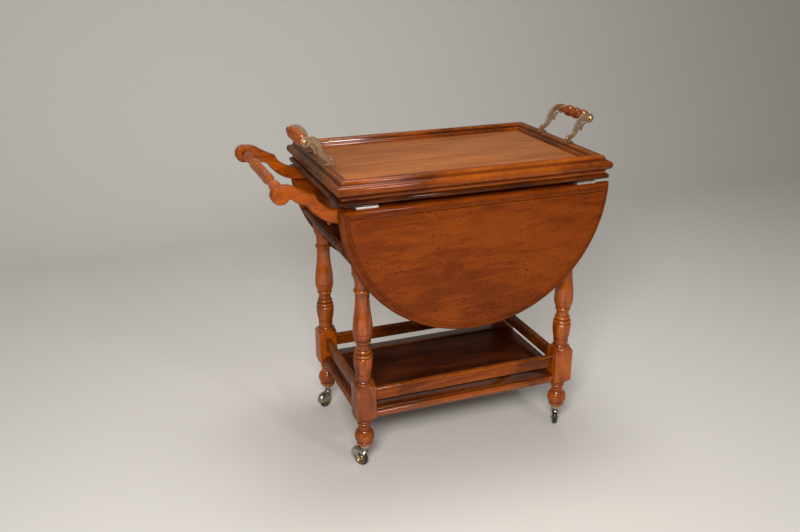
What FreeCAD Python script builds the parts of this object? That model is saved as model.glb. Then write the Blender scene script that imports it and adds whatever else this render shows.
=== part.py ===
import FreeCAD, Part
import math
import os
import re
import Sketcher

# Drop leaf tea trolley. Millimetres; +Z up, +X along the trolley away from its push bar,
# +Y towards the back leaf. The origin lies on the floor, midway between the four legs.

doc = FreeCAD.newDocument("drop_leaf_tea_trolley")
sheet = doc.addObject("Spreadsheet::Sheet", "Sizes")

# Name, value and note; a value that starts with "=" follows from other sizes.
SIZES = [
    ("top_length", 674, "fixed top board"),
    ("top_width", 430, ""),
    ("top_thickness", 13, ""),
    ("top_nose_radius", 5.5, ""),
    ("hinge_outset", 1, "hinge pin outside the edge of the fixed top"),
    ("leaf_hinge_set", 11.4, "hinge pin outside the inner face of a hanging leaf"),
    ("hinge_y", "=top_width / 2 + hinge_outset", "hinge pin from the trolley's middle"),
    ("leaf_inner", "=hinge_y - leaf_hinge_set", "inner face of a hanging leaf"),
    ("leaf_length", "=top_length", "drop leaf along its hinged edge"),
    ("leaf_depth", 328, "drop leaf from hinged edge to tip"),
    ("leaf_thickness", 18, ""),
    ("leaf_edge_radius", 6, "rounded show edge of the leaf"),
    ("leaf_top_gap", 7.2, "fixed top to the upper edge of a hanging leaf"),
    ("leaf_board_gap", 1.6, "hanging leaf to the moulded board under the case"),
    ("board_end_step", 26, "fixed top beyond the moulded board, at each end"),
    ("board_length", "=top_length - 2 * board_end_step", "moulded board under the case"),
    ("board_width", "=2 * (leaf_inner - leaf_board_gap)", ""),
    ("board_thickness", 23, ""),
    ("board_quirk", 3, "raised middle of the bottom board"),
    ("board_quirk_inset", 8, ""),
    ("board_nose_radius", 8, ""),
    ("arm_thickness", 22, "push arm"),
    ("arm_leaf_gap", 2.6, "push arm to a hanging leaf"),
    ("leaf_case_gap", "=arm_thickness + arm_leaf_gap", "case side to the inner face of a hanging leaf"),
    ("case_end_step", 29, "moulded board beyond the case, at each end"),
    ("case_length", "=board_length - 2 * case_end_step", "case between the moulded boards"),
    ("case_width", "=2 * (leaf_inner - leaf_case_gap)", ""),
    ("case_height", 117.2, ""),
    ("case_wall", 18, ""),
    ("leg_stock", 48.5, "side of the square stock the legs are turned from"),
    ("leg_length", 494, "turned leg, foot to underside of the case"),
    ("leg_inset_long", 16.75, "leg's face inside the edge of the moulded board"),
    ("leg_inset_wide", 17.75, ""),
    ("leg_spacing_long", "=board_length - 2 * leg_inset_long - leg_stock", "leg centre to leg centre"),
    ("leg_spacing_wide", "=board_width - 2 * leg_inset_wide - leg_stock", ""),
    ("block_inner_x", "=leg_spacing_long / 2 - leg_stock / 2", "inner face of a leg's block"),
    ("block_inner_y", "=leg_spacing_wide / 2 - leg_stock / 2", ""),
    ("foot_radius", 17, "flat end of the leg over the caster collar"),
    ("foot_ring_radius", 21, ""),
    ("onion_radius", 24, ""),
    ("ankle_radius", 15.2, ""),
    ("cuff_radius", 24, ""),
    ("cove_radius", 18.3, ""),
    ("bulge_radius", 23.2, ""),
    ("bead_radius", 22.4, ""),
    ("small_bead_radius", 19.6, ""),
    ("pinch_radius", 15.7, ""),
    ("collar_bead_radius", 19.4, ""),
    ("vase_radius", 24, ""),
    ("vase_neck_radius", 16.9, ""),
    ("neck_ring_radius", 20.5, ""),
    ("bead_half_height", 4, "half height of the beads and the neck ring"),
    ("bead_seat_radius", 17.2, "radius beside the beads"),
    ("wheel_radius", 20, "caster tyre"),
    ("wheel_width", 12, ""),
    ("rim_radius", 15, "brass wheel inside the tyre"),
    ("axle_radius", 2.5, ""),
    ("axle_clearance", 0.05, "wheel on its axle"),
    ("axle_lug_radius", 4.5, "thickened end of the hood's cheek round the axle"),
    ("axle_lug_height", 1, ""),
    ("caster_trail", 12, "wheel axle behind the swivel axis"),
    ("hood_tyre_gap", 5, "tread of the tyre to the hood"),
    ("hood_wall", 2.4, ""),
    ("hood_radius", "=wheel_radius + hood_tyre_gap + hood_wall", ""),
    ("hood_side_gap", 1.2, "hood cheek to tyre"),
    ("hood_skirt", 18, "lower edge of the hood above the floor"),
    ("hood_neck", 3.8, "hood's neck between its crown and the collar"),
    ("hood_round", 8, "radius between the hood's cheeks and its back"),
    ("collar_radius", 12.5, "brass collar under the leg"),
    ("collar_height", 9.5, ""),
    ("stem_radius", 4, "swivel stem of the caster"),
    ("stem_length", 36, "stem above the collar's lower face"),
    ("stem_clearance", 0.05, "stem in collar and leg"),
    ("stem_end_gap", 2, "hole in the leg beyond the stem"),
    ("swivel_gap", 0.3, "hood under the collar"),
    ("caster_height", "=wheel_radius + hood_radius + hood_neck + swivel_gap + collar_height",
     "floor to the leg's end"),
    ("board_base", "=caster_height + leg_length", "levels above the floor"),
    ("case_base", "=board_base + board_thickness", ""),
    ("top_base", "=case_base + case_height", ""),
    ("leaf_top", "=top_base - leaf_top_gap", ""),
    ("hinge_length", 50, ""),
    ("hinge_end_inset", 64, "hinge centre from the end of the fixed top"),
    ("hinge_centre", "=top_length / 2 - hinge_end_inset", "hinge centre from the trolley's middle"),
    ("knuckle_radius", 3.5, ""),
    ("hinge_z", "=top_base - knuckle_radius", ""),
    ("hinge_pin_radius", 1.75, ""),
    ("hinge_clearance", 0.05, "running clearance on the hinge pin"),
    ("knuckle_relief", 0.2, "moving knuckle smaller than the fixed ones"),
    ("hinge_plate", 1.5, "sheet thickness of the hinges"),
    ("hinge_plate_reach", 26, "fixed plate, from pin to inner edge"),
    ("hinge_leaf_drop", 28, "moving plate down the leaf's inner face"),
    ("hinge_joint_gap", 0.3, "gap between knuckles"),
    ("hinge_tab_lap", 1, "hinge tabs into their plates"),
    ("tray_seat_gap", 0.3, "tray over the fixed top"),
    ("tray_base", "=top_base + top_thickness + tray_seat_gap", ""),
    ("tray_end_lap", 4, "tray beyond the fixed top, at each end"),
    ("tray_side_lap", 6, "tray beyond the fixed top, at each side"),
    ("tray_length", "=top_length + 2 * tray_end_lap", "lift-off tray over its round moulding"),
    ("tray_width", "=top_width + 2 * tray_side_lap", ""),
    ("tray_height", 42.5, ""),
    ("tray_rim_width", 33, "moulding from round nose to the flat inner rim edge"),
    ("tray_bevel_width", 9, "bevel between rim and panel"),
    ("tray_panel_level", 24, "upper face of the panel above the tray's underside"),
    ("tray_panel_lip", 1, "bevel's foot above the panel"),
    ("tray_panel_thickness", 8, ""),
    ("arm_scroll_radius", 21, ""),
    ("arm_reach", 457, "scroll centre from the trolley's middle"),
    ("arm_scroll_rise", 37.3, "scroll centre above the underside of the fixed top"),
    ("arm_level", "=top_base + arm_scroll_rise", "scroll centre above the floor"),
    ("arm_root_length", 147, "push arm along the case, from the end of the fixed top"),
    ("arm_root_height", 27, "push arm where it lies on the case"),
    ("arm_root_gap", 11.2, "push arm under the fixed top"),
    ("push_bar_radius", 13, "widest turning of the push bar"),
    ("push_bar_waist", 7, "slim turning of the push bar"),
    ("push_bar_ring", 10.5, "grooves beside the push bar's middle bead"),
    ("push_bar_inset", 3, "push bar's axis inward of the scroll's centre"),
    ("push_bar_lift", 2.5, "push bar's axis over the scroll's centre"),
    ("shelf_inset", 7.25, "shelf's nose inside the outer faces of the leg blocks"),
    ("shelf_length", "=leg_spacing_long + leg_stock - 2 * shelf_inset", "lower shelf over its moulded edges"),
    ("shelf_width", "=leg_spacing_wide + leg_stock - 2 * shelf_inset", ""),
    ("shelf_drop", 5, "underside of the shelf below the lower edge of the leg blocks"),
    ("shelf_thickness", 22, ""),
    ("shelf_panel_drop", 2, "shelf panel below its edge boards"),
    ("shelf_panel_thickness", 14, ""),
    ("rail_thickness", 14.5, "gallery rail"),
    ("rail_height", 32, ""),
    ("rail_gap", 22, "open gap between shelf and gallery rail"),
    ("bracket_thickness", 17, "fly bracket that holds a raised leaf"),
    ("bracket_length", 250, ""),
    ("bracket_height", 84, ""),
    ("bracket_tip", 24, "height of the bracket's tip"),
    ("bracket_knuckle", 8.5, "radius of the bracket's wooden knuckle"),
    ("bracket_pin_radius", 2.5, ""),
    ("bracket_rail_length", 60, "fixed half of the bracket's knuckle joint"),
    ("bracket_lap", 1, "fixed half let into the case side"),
    ("bracket_web", 2, "bracket's knuckle into its board"),
    ("bracket_gap", 0.3, "bracket to the fixed knuckles and to a raised leaf"),
    ("bracket_top", "=hinge_z - leaf_hinge_set - bracket_gap", ""),
    ("bracket_base", "=bracket_top - bracket_height", ""),
    ("drawer_gap", 0.8, "drawer to the case around it"),
    ("drawer_end_gap", 76, "drawer to the closed end of the case"),
    ("drawer_depth", "=case_length - case_wall - drawer_end_gap", "drawer from front face to back"),
    ("drawer_front_thickness", 18, ""),
    ("drawer_wall", 10, ""),
    ("drawer_floor", 5, ""),
    ("drawer_floor_lift", 8, "drawer floor above the sides' lower edge"),
    ("drawer_side_drop", 14, "drawer sides below the drawer front's upper edge"),
    ("pull_radius", 9, "drawer knob"),
    ("pull_length", 20, ""),
    ("pull_stem_radius", 4.5, ""),
    ("pull_drop", 42, "knob's centre below the middle of the drawer front"),
    ("handle_spacing", 138, "tray handle arm to arm, outer faces"),
    ("handle_arm_thickness", 5, ""),
    ("handle_overhang", 27, "tray grip beyond the tray's end"),
    ("handle_reach", "=tray_length / 2 + handle_overhang", "tray grip from the tray's middle"),
    ("handle_rise", 101.5, "tray grip above the tray's underside"),
    ("handle_foot_reach", 70, "handle arm from the grip's axis to the end of its foot"),
    ("handle_eye_radius", 11, "round end of the handle arm"),
    ("grip_radius", 14.5, "beads of the tray grip"),
    ("grip_groove_radius", 10.5, "between the beads"),
    ("grip_waist", 8, "ends of the grip"),
    ("nut_radius", 6, "domed nut on the tray grip"),
    ("nut_length", 6, ""),
    ("screw_radius", 3.2, "head of the tray handle screws"),
    ("screw_height", 1.6, ""),
]

# Stations of the turned leg: level, how far it lies above the one before, and what it is.
LEG_RISES = [
    ("foot_ring_level", 15, "ring under the onion foot, above the leg's end"),
    ("onion_level", 15, "widest point of the onion foot"),
    ("ankle_level", 26.5, "narrow neck over the onion foot"),
    ("shoulder_level", 18, "start of the turned shoulder below the block"),
    ("block_bottom", 10.5, "lower edge of the square block"),
    ("block_top", 85, "upper edge of the square block"),
    ("cuff_level", 6, "flared ring that lands on the block"),
    ("cove_level", 14, "cove over the flared ring"),
    ("bulge_level", 48, "widest point of the lower bulge"),
    ("bead_level", 12.5, "wide bead over the bulge"),
    ("small_bead_level", 10.5, "small bead over the wide one"),
    ("pinch_level", 11.5, "narrowest point of the leg"),
    ("collar_bead_level", 12.5, "bead under the vase"),
    ("vase_level", 30, "widest point of the vase"),
]
# The same from the leg's top down.
LEG_DROPS = [
    ("top_cylinder_drop", 38, "plain top of the leg"),
    ("top_cove_drop", 28, "cove under it"),
    ("neck_ring_drop", 12, "ring on the neck"),
    ("vase_neck_drop", 19, "slim end of the vase"),
]
for stations in (LEG_RISES, LEG_DROPS):
    before = "0"
    for station, step, note in stations:
        SIZES.append((station + "_step", step, note))
        SIZES.append((station, "=%s + %s_step" % (before, station), ""))
        before = station
SIZES.append(("shelf_base", "=caster_height + block_bottom - shelf_drop", "underside of the lower shelf"))
SIZES.append(("shelf_top", "=shelf_base + shelf_thickness", ""))

for row, (name, value, note) in enumerate(SIZES, start=1):
    sheet.set("A%d" % row, name)
    sheet.set("C%d" % row, note)
    sheet.setAlias("B%d" % row, name)
for row, (name, value, note) in enumerate(SIZES, start=1):
    sheet.set("B%d" % row, str(value))
doc.recompute()

ALIASES = re.compile(r"\b(" + "|".join(name for name, value, note in SIZES) + r")\b")


def linked(formula):
    """The formula as a FreeCAD expression that reads the sheet."""
    return ALIASES.sub(r"Sizes.\1", formula)


def number(formula):
    """The formula's value now."""
    return float(sheet.evalExpression(linked(formula)))


def bind(feature, prop, formula):
    feature.setExpression(prop, linked(formula))


def place(feature, x="0", y="0", z="0", turn="0"):
    """Bind a position, with a turn in degrees about the vertical axis."""
    feature.Placement = FreeCAD.Placement(
        FreeCAD.Vector(number(x), number(y), number(z)),
        FreeCAD.Rotation(FreeCAD.Vector(0, 0, 1), number(turn)))
    bind(feature, ".Placement.Base.x", x)
    bind(feature, ".Placement.Base.y", y)
    bind(feature, ".Placement.Base.z", z)


nodes = []


def keep(feature, label):
    """Name a finished sub-part and list it for export."""
    feature.Label = label
    nodes.append(feature)
    return feature


# ---------------------------------------------------------------- sketches

class Bend:
    """A point that the outline passes in a round stretch between its neighbours."""

    def __init__(self, across, up):
        self.across = across
        self.up = up


def pin_point(sketch, geo, pos, across, up):
    """Fix a sketch point at the two formulas."""
    for kind, formula, axis in (("DistanceX", across, -2), ("DistanceY", up, -1)):
        value = number(formula)
        if abs(value) < 1e-9:
            sketch.addConstraint(Sketcher.Constraint("PointOnObject", geo, pos, axis))
        else:
            index = sketch.addConstraint(Sketcher.Constraint(kind, geo, pos, value))
            bind(sketch, "Constraints[%d]" % index, formula)


def spot(point):
    return FreeCAD.Vector(number(point[0]), number(point[1]), 0)


def end_at(sketch, geo, corner):
    """Which end of a sketch line or arc lies at the corner."""
    near = sketch.getPoint(geo, 1).distanceToPoint(corner)
    return 1 if near < sketch.getPoint(geo, 2).distanceToPoint(corner) else 2


def draw(sketch, outline):
    """Draw a closed outline of corners, with Bend points where it is round."""
    corners = [item for item in outline if not isinstance(item, Bend)]
    bends = {}
    count = -1
    for item in outline:
        if isinstance(item, Bend):
            bends[count] = item
        else:
            count += 1
    pieces = []
    for index, corner in enumerate(corners):
        start = spot(corner)
        stop = spot(corners[(index + 1) % len(corners)])
        bend = bends.get(index)
        if bend is None:
            geo = sketch.addGeometry(Part.LineSegment(start, stop))
        else:
            middle = spot((bend.across, bend.up))
            geo = sketch.addGeometry(Part.Arc(start, middle, stop))
            mark = sketch.addGeometry(Part.Point(middle), True)
            sketch.addConstraint(Sketcher.Constraint("PointOnObject", mark, 1, geo))
            pin_point(sketch, mark, 1, bend.across, bend.up)
        pieces.append((geo, start, stop))
    for index, (geo, start, stop) in enumerate(pieces):
        after, after_start, after_stop = pieces[(index + 1) % len(pieces)]
        sketch.addConstraint(Sketcher.Constraint(
            "Coincident", geo, end_at(sketch, geo, stop), after, end_at(sketch, after, after_start)))
        pin_point(sketch, geo, end_at(sketch, geo, start), *corners[index])


def new_sketch(body, plane):
    sketch = body.newObject("Sketcher::SketchObject", body.Name + "_sketch")
    origin_plane = [item for item in body.Origin.OriginFeatures if item.Role == plane][0]
    sketch.AttachmentSupport = (origin_plane, [""])
    sketch.MapMode = "FlatFace"
    return sketch


def rectangle(half_across, half_up):
    return [("-" + half_across, "-" + half_up), (half_across, "-" + half_up),
            (half_across, half_up), ("-" + half_across, half_up)]


def new_body(name):
    return doc.addObject("PartDesign::Body", name)


def pad(body, plane, outline, length, start="0", back=False, middle=False):
    """Pad an outline, from a start distance along the plane's normal."""
    sketch = new_sketch(body, plane)
    draw(sketch, outline)
    bind(sketch, ".AttachmentOffset.Base.z", start)
    feature = body.newObject("PartDesign::Pad", body.Name + "_pad")
    feature.Profile = sketch
    feature.Reversed = back
    feature.SideType = "Symmetric" if middle else "One side"
    bind(feature, "Length", length)
    doc.recompute()
    return feature


def turned(body, outline, kind="PartDesign::Revolution", plane="XZ_Plane"):
    """Turn an outline about its plane's upright axis: Z in the XZ plane, Y in the XY plane."""
    sketch = new_sketch(body, plane)
    draw(sketch, outline)
    feature = body.newObject(kind, body.Name + "_turning")
    feature.Profile = sketch
    feature.ReferenceAxis = (sketch, ["V_Axis"])
    feature.Angle = 360
    doc.recompute()
    return feature


same_place = 1e-4  # edges count as level with a plane within this many millimetres


def round_edges(body, radius, chosen):
    """Fillet the edges of the body's tip that the test accepts."""
    tip = body.Tip
    names = ["Edge%d" % index for index, edge in enumerate(tip.Shape.Edges, start=1) if chosen(edge)]
    feature = body.newObject("PartDesign::Fillet", body.Name + "_round")
    feature.Base = (tip, names)
    bind(feature, "Radius", radius)
    doc.recompute()
    return feature


def flat_edges(*levels):
    """Test for edges that lie flat at one of the levels of the body's own frame."""
    def test(edge):
        low, high = edge.BoundBox.ZMin, edge.BoundBox.ZMax
        return any(max(abs(low - level), abs(high - level)) < same_place for level in levels)
    return test


def block(name, length, width, height, x, y, z):
    """A Part box given by its sizes and its lowest corner."""
    feature = doc.addObject("Part::Box", name)
    bind(feature, "Length", length)
    bind(feature, "Width", width)
    bind(feature, "Height", height)
    place(feature, x, y, z)
    return feature


def rod(name, radius, length, x, y, z, direction=(0, 0, 1)):
    """A Part cylinder from a start point along a direction."""
    feature = doc.addObject("Part::Cylinder", name)
    bind(feature, "Radius", radius)
    bind(feature, "Height", length)
    place(feature, x, y, z)
    feature.Placement = FreeCAD.Placement(
        feature.Placement.Base, FreeCAD.Rotation(FreeCAD.Vector(0, 0, 1), FreeCAD.Vector(*direction)))
    return feature


def fuse(name, pieces):
    feature = doc.addObject("Part::MultiFuse", name)
    feature.Shapes = pieces
    return feature


def cut(name, base, tool):
    feature = doc.addObject("Part::Cut", name)
    feature.Base = base
    feature.Tool = tool
    return feature


def group(name, pieces):
    feature = doc.addObject("Part::Compound", name)
    feature.Links = pieces
    return feature


# ---------------------------------------------------------------- legs and casters

stock_clear = "(leg_stock * 0.76)"
corners = [
    ("front_left", "-leg_spacing_long / 2", "-leg_spacing_wide / 2", 122),
    ("front_right", "leg_spacing_long / 2", "-leg_spacing_wide / 2", 65),
    ("back_left", "-leg_spacing_long / 2", "leg_spacing_wide / 2", 217),
    ("back_right", "leg_spacing_long / 2", "leg_spacing_wide / 2", 40),
]


def bead(level, radius, seat):
    """A half-round bead on a turning: seat, bulge, seat."""
    return [(seat, level + " - bead_half_height"), Bend(radius, level), (seat, level + " + bead_half_height")]


def make_leg(corner, x, y):
    """Square stock, turned away below and above the block, with a hole for the caster's stem."""
    body = new_body("leg_" + corner)
    pad(body, "XY_Plane", rectangle("(leg_stock / 2)", "(leg_stock / 2)"), "leg_length")
    foot = [
        (stock_clear, "0"),
        ("foot_radius", "0"),
        Bend("(foot_radius + (foot_ring_radius - foot_radius) * 0.75)", "(foot_ring_level * 0.4)"),
        ("foot_ring_radius", "foot_ring_level"),
        Bend("onion_radius", "onion_level"),
        ("ankle_radius", "ankle_level"),
        ("ankle_radius", "shoulder_level"),
        (stock_clear, "block_bottom"),
    ]
    turned(body, foot, kind="PartDesign::Groove")
    neck = "(leg_length - vase_neck_drop)"
    ring = "(leg_length - neck_ring_drop)"
    cove = "(leg_length - top_cove_drop)"
    cap = "(leg_length - top_cylinder_drop)"
    upper = [
        (stock_clear, "block_top"),
        ("cuff_radius", "cuff_level"),
        ("cuff_radius", "(cuff_level + bead_half_height * 0.75)"),
        Bend("(cove_radius + (cuff_radius - cove_radius) * 0.2)", "((cuff_level + cove_level) / 2)"),
        ("cove_radius", "cove_level"),
        Bend("(cove_radius + (bulge_radius - cove_radius) * 0.64)", "((cove_level + bulge_level) / 2)"),
        ("bulge_radius", "bulge_level"),
        *bead("bead_level", "bead_radius", "(bead_radius - bead_half_height / 2)"),
        *bead("small_bead_level", "small_bead_radius", "bead_seat_radius"),
        ("pinch_radius", "pinch_level"),
        *bead("collar_bead_level", "collar_bead_radius", "bead_seat_radius"),
        Bend("(vase_radius - (vase_radius - bead_seat_radius) * 0.2)",
             "(collar_bead_level + (vase_level - collar_bead_level) * 0.55)"),
        ("vase_radius", "vase_level"),
        Bend("(vase_neck_radius + (vase_radius - vase_neck_radius) * 0.8)",
             "(vase_level + (leg_length - vase_neck_drop - vase_level) * 0.33)"),
        ("(vase_neck_radius + (vase_radius - vase_neck_radius) * 0.34)",
         "(vase_level + (leg_length - vase_neck_drop - vase_level) * 0.62)"),
        Bend("(vase_neck_radius + (vase_radius - vase_neck_radius) * 0.1)",
             "(vase_level + (leg_length - vase_neck_drop - vase_level) * 0.82)"),
        ("vase_neck_radius", neck),
        *bead(ring, "neck_ring_radius", "bead_seat_radius"),
        ("bead_seat_radius", cove),
        Bend("(bead_seat_radius + (vase_radius - bead_seat_radius) * 0.25)",
             "(leg_length - (top_cove_drop + top_cylinder_drop) / 2)"),
        ("vase_radius", cap),
        ("vase_radius", "leg_length"),
        (stock_clear, "leg_length"),
    ]
    turned(body, upper, kind="PartDesign::Groove")
    bore = "(stem_radius + stem_clearance)"
    depth = "(stem_length - collar_height + stem_end_gap)"
    turned(body, [("0", "0"), (bore, "0"), (bore, depth), ("0", depth)], kind="PartDesign::Groove")
    place(body, x, y, "caster_height")
    keep(body, "leg_" + corner)


def make_collar(corner, x, y):
    """Brass collar between the leg and the caster."""
    body = new_body("collar_" + corner)
    bore = "(stem_radius + stem_clearance)"
    turned(body, [
        (bore, "0"),
        ("(collar_radius * 0.8)", "0"),
        ("collar_radius", "(collar_height * 0.7)"),
        ("collar_radius", "collar_height"),
        (bore, "collar_height"),
    ])
    place(body, x, y, "(caster_height - collar_height)")
    return body


def hood_solid(name, radius, half_width, rounding):
    """A drum about the caster's axle with rounded rims, for the outside or the inside of the hood."""
    body = new_body(name)
    near = "(%s - %s)" % (half_width, rounding)
    rim = "(%s - %s)" % (radius, rounding)
    diagonal = "%s * 0.7071" % rounding
    turned(body, [
        ("0", "-" + half_width),
        (rim, "-" + half_width),
        Bend("(%s + %s)" % (rim, diagonal), "-(%s + %s)" % (near, diagonal)),
        (radius, "-" + near),
        (radius, near),
        Bend("(%s + %s)" % (rim, diagonal), "(%s + %s)" % (near, diagonal)),
        (rim, half_width),
        ("0", half_width),
    ], plane="XY_Plane")
    place(body, "caster_trail", "0", "wheel_radius")
    return body


def make_caster(corner, x, y, turn):
    """Hood with stem and axle, brass wheel, and tyre; the axle lies along the caster's own Y."""
    cheek_inner = "(wheel_width / 2 + hood_side_gap)"
    cheek_outer = "(wheel_width / 2 + hood_side_gap + hood_wall)"
    hood_top = "(caster_height - collar_height - swivel_gap)"
    outer = hood_solid("hood_outer_" + corner, "hood_radius", cheek_outer, "hood_round")
    cavity = hood_solid("hood_cavity_" + corner, "(hood_radius - hood_wall)", cheek_inner,
                        "(hood_round - hood_wall)")
    boss = rod("hood_boss_" + corner, "(stem_radius * 1.7)", "(%s - wheel_radius)" % hood_top,
               "0", "0", "wheel_radius")
    skirt = block("hood_skirt_" + corner,
                  "(4 * hood_radius)", "(4 * hood_radius)", "(hood_radius + hood_skirt)",
                  "(caster_trail - 2 * hood_radius)", "-2 * hood_radius", "-hood_radius")
    throat = block("hood_throat_" + corner,
                   "(2 * hood_radius)", "(4 * hood_radius)", "(wheel_radius + hood_radius * 0.8)",
                   "-(2 * hood_radius + stem_radius / 2)", "-2 * hood_radius", "0")
    cheek_front = block("hood_cheek_front_" + corner,
                        "(2 * hood_radius + caster_trail - axle_lug_radius * 1.3)", "(4 * hood_radius)",
                        "(wheel_radius + rim_radius * 0.9)", "-2 * hood_radius", "-2 * hood_radius", "0")
    shell = cut("hood_shell_" + corner, fuse("hood_blank_" + corner, [outer, boss]),
                fuse("hood_tools_" + corner, [cavity, skirt, throat, cheek_front]))
    stem = rod("hood_stem_" + corner, "stem_radius", "stem_length", "0", "0", hood_top)
    axle = rod("hood_axle_" + corner, "axle_radius", "(2 * %s)" % cheek_outer,
               "caster_trail", cheek_outer, "wheel_radius", (0, -1, 0))
    lugs = [rod("hood_lug_%s_%s" % (face, corner), "axle_lug_radius", "(hood_wall + axle_lug_height)",
                "caster_trail", start, "wheel_radius", (0, 1, 0))
            for face, start in (("far", cheek_inner), ("near", "-(%s + axle_lug_height)" % cheek_outer))]
    hood = fuse("caster_hood_" + corner, [shell, stem, axle, *lugs])
    place(hood, x, y, "0", str(turn))
    keep(hood, "caster_hood_" + corner)

    ahead = math.cos(math.radians(turn))
    aside = math.sin(math.radians(turn))
    wheel_x = "%s + caster_trail * %.6f" % (x, ahead)
    wheel_y = "%s + caster_trail * %.6f" % (y, aside)
    bore = "(axle_radius + axle_clearance)"
    wheel = new_body("caster_wheel_" + corner)
    turned(wheel, [
        (bore, "-(wheel_width * 0.4)"),
        ("(rim_radius * 0.4)", "-(wheel_width * 0.4)"),
        Bend("(rim_radius * 0.65)", "-(wheel_width * 0.2)"),
        ("(rim_radius * 0.85)", "-(wheel_width * 0.42)"),
        ("rim_radius", "-(wheel_width * 0.42)"),
        ("rim_radius", "(wheel_width * 0.42)"),
        ("(rim_radius * 0.85)", "(wheel_width * 0.42)"),
        Bend("(rim_radius * 0.65)", "(wheel_width * 0.2)"),
        ("(rim_radius * 0.4)", "(wheel_width * 0.4)"),
        (bore, "(wheel_width * 0.4)"),
    ], plane="XY_Plane")
    place(wheel, wheel_x, wheel_y, "wheel_radius", str(turn))
    keep(wheel, "caster_wheel_" + corner)

    tyre = new_body("caster_tyre_" + corner)
    shoulder = "(wheel_radius - wheel_width * 0.2)"
    turned(tyre, [
        ("rim_radius", "-(wheel_width / 2)"),
        (shoulder, "-(wheel_width / 2)"),
        Bend("wheel_radius", "0"),
        (shoulder, "(wheel_width / 2)"),
        ("rim_radius", "(wheel_width / 2)"),
    ], plane="XY_Plane")
    place(tyre, wheel_x, wheel_y, "wheel_radius", str(turn))
    keep(tyre, "caster_tyre_" + corner)


for corner, x, y, turn in corners:
    make_leg(corner, x, y)
    make_caster(corner, x, y, turn)
keep(group("collar_group", [make_collar(corner, x, y) for corner, x, y, turn in corners]), "caster_collars")


# ---------------------------------------------------------------- case, top and bottom boards

def make_bottom_board():
    body = new_body("case_bottom_board")
    lower = "(board_thickness - board_quirk)"
    pad(body, "XY_Plane", rectangle("(board_length / 2)", "(board_width / 2)"), lower)
    round_edges(body, "board_nose_radius", flat_edges(0, number(lower)))
    pad(body, "XY_Plane",
        rectangle("(board_length / 2 - board_quirk_inset)", "(board_width / 2 - board_quirk_inset)"),
        "board_quirk", start=lower)
    place(body, z="board_base")
    keep(body, "case_bottom_board")


def make_top_board():
    body = new_body("top_board")
    pad(body, "XY_Plane", rectangle("(top_length / 2)", "(top_width / 2)"), "top_thickness")
    round_edges(body, "top_nose_radius", flat_edges(0, number("top_thickness")))
    place(body, z="top_base")
    keep(body, "top_board")


ear_height = "(bracket_height / 3 - bracket_gap)"


def outward(side, near, far):
    """Start and width of a span of Y, given as distances outward on the front or back side."""
    start = "-" + far if side == "front" else near
    return start, "(%s - %s)" % (far, near)


def make_case_side(side):
    """Side board, with the fixed half of the fly bracket's wooden knuckle joint."""
    start, width = outward(side, "(case_width / 2 - case_wall)", "(case_width / 2)")
    board = block("side_board_" + side, "case_length", width, "case_height",
                  "-case_length / 2", start, "case_base")
    start, width = outward(side, "(case_width / 2 - bracket_lap)", "(case_width / 2 + bracket_thickness)")
    rail = block("side_rail_" + side, "bracket_rail_length", width, "bracket_height",
                 "-(bracket_rail_length + bracket_knuckle)", start, "bracket_base")
    pieces = [board, rail]
    sign = "-" if side == "front" else ""
    axis_y = sign + "(case_width / 2 + bracket_thickness / 2)"
    for name, level in (("low", "bracket_base"), ("high", "(bracket_top - %s)" % ear_height)):
        start, width = outward(side, "(case_width / 2)", "(case_width / 2 + bracket_thickness)")
        pieces.append(block("ear_root_%s_%s" % (name, side), "bracket_knuckle", width, ear_height,
                            "-bracket_knuckle", start, level))
        pieces.append(rod("ear_%s_%s" % (name, side), "bracket_knuckle", ear_height, "0", axis_y, level))
    hole = rod("ear_hole_" + side, "bracket_pin_radius", "bracket_height", "0", axis_y, "bracket_base")
    keep(cut("case_side_" + side, fuse("side_blank_" + side, pieces), hole), "case_side_" + side)


def make_fly_bracket(side):
    """Curved bracket, folded flat against the case side; swung out it carries the raised leaf."""
    body = new_body("bracket_board_" + side)
    root = "(bracket_knuckle + bracket_gap)"
    pad(body, "XZ_Plane", [
        (root, "0"),
        (root, "-bracket_height"),
        ("(bracket_length * 0.22)", "-bracket_height"),
        Bend("(bracket_length * 0.36)", "-(bracket_height * 0.55)"),
        ("(bracket_length * 0.6)", "-(bracket_height * 0.4)"),
        Bend("(bracket_length * 0.85)", "-(bracket_tip * 1.25)"),
        ("bracket_length", "-bracket_tip"),
        ("bracket_length", "0"),
    ], "bracket_thickness")
    sign = "-" if side == "front" else ""
    board_y = "-(case_width / 2)" if side == "front" else "(case_width / 2 + bracket_thickness)"
    place(body, "0", board_y, "bracket_top")
    axis_y = sign + "(case_width / 2 + bracket_thickness / 2)"
    middle = "(bracket_base + bracket_height / 3)"
    height = "(bracket_height / 3)"
    start, width = outward(side, "(case_width / 2 + bracket_thickness * 0.1)",
                           "(case_width / 2 + bracket_thickness * 0.9)")
    web = block("bracket_web_" + side, "(bracket_knuckle + bracket_web)", width, height, "0", start, middle)
    knuckle = rod("bracket_knuckle_" + side, "bracket_knuckle", height, "0", axis_y, middle)
    hole = rod("bracket_hole_" + side, "bracket_pin_radius", "bracket_height", "0", axis_y, "bracket_base")
    keep(cut("fly_bracket_" + side, fuse("bracket_blank_" + side, [body, web, knuckle]), hole),
         "fly_bracket_" + side)


def bracket_pin(side):
    sign = "-" if side == "front" else ""
    return rod("bracket_pin_" + side, "bracket_pin_radius", "bracket_height",
               "0", sign + "(case_width / 2 + bracket_thickness / 2)", "bracket_base")


make_bottom_board()
make_top_board()
for side in ("front", "back"):
    make_case_side(side)
    make_fly_bracket(side)
keep(block("case_end_panel", "case_wall", "(case_width - 2 * case_wall)", "case_height",
           "(case_length / 2 - case_wall)", "-(case_width / 2 - case_wall)", "case_base"), "case_end_panel")


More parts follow.
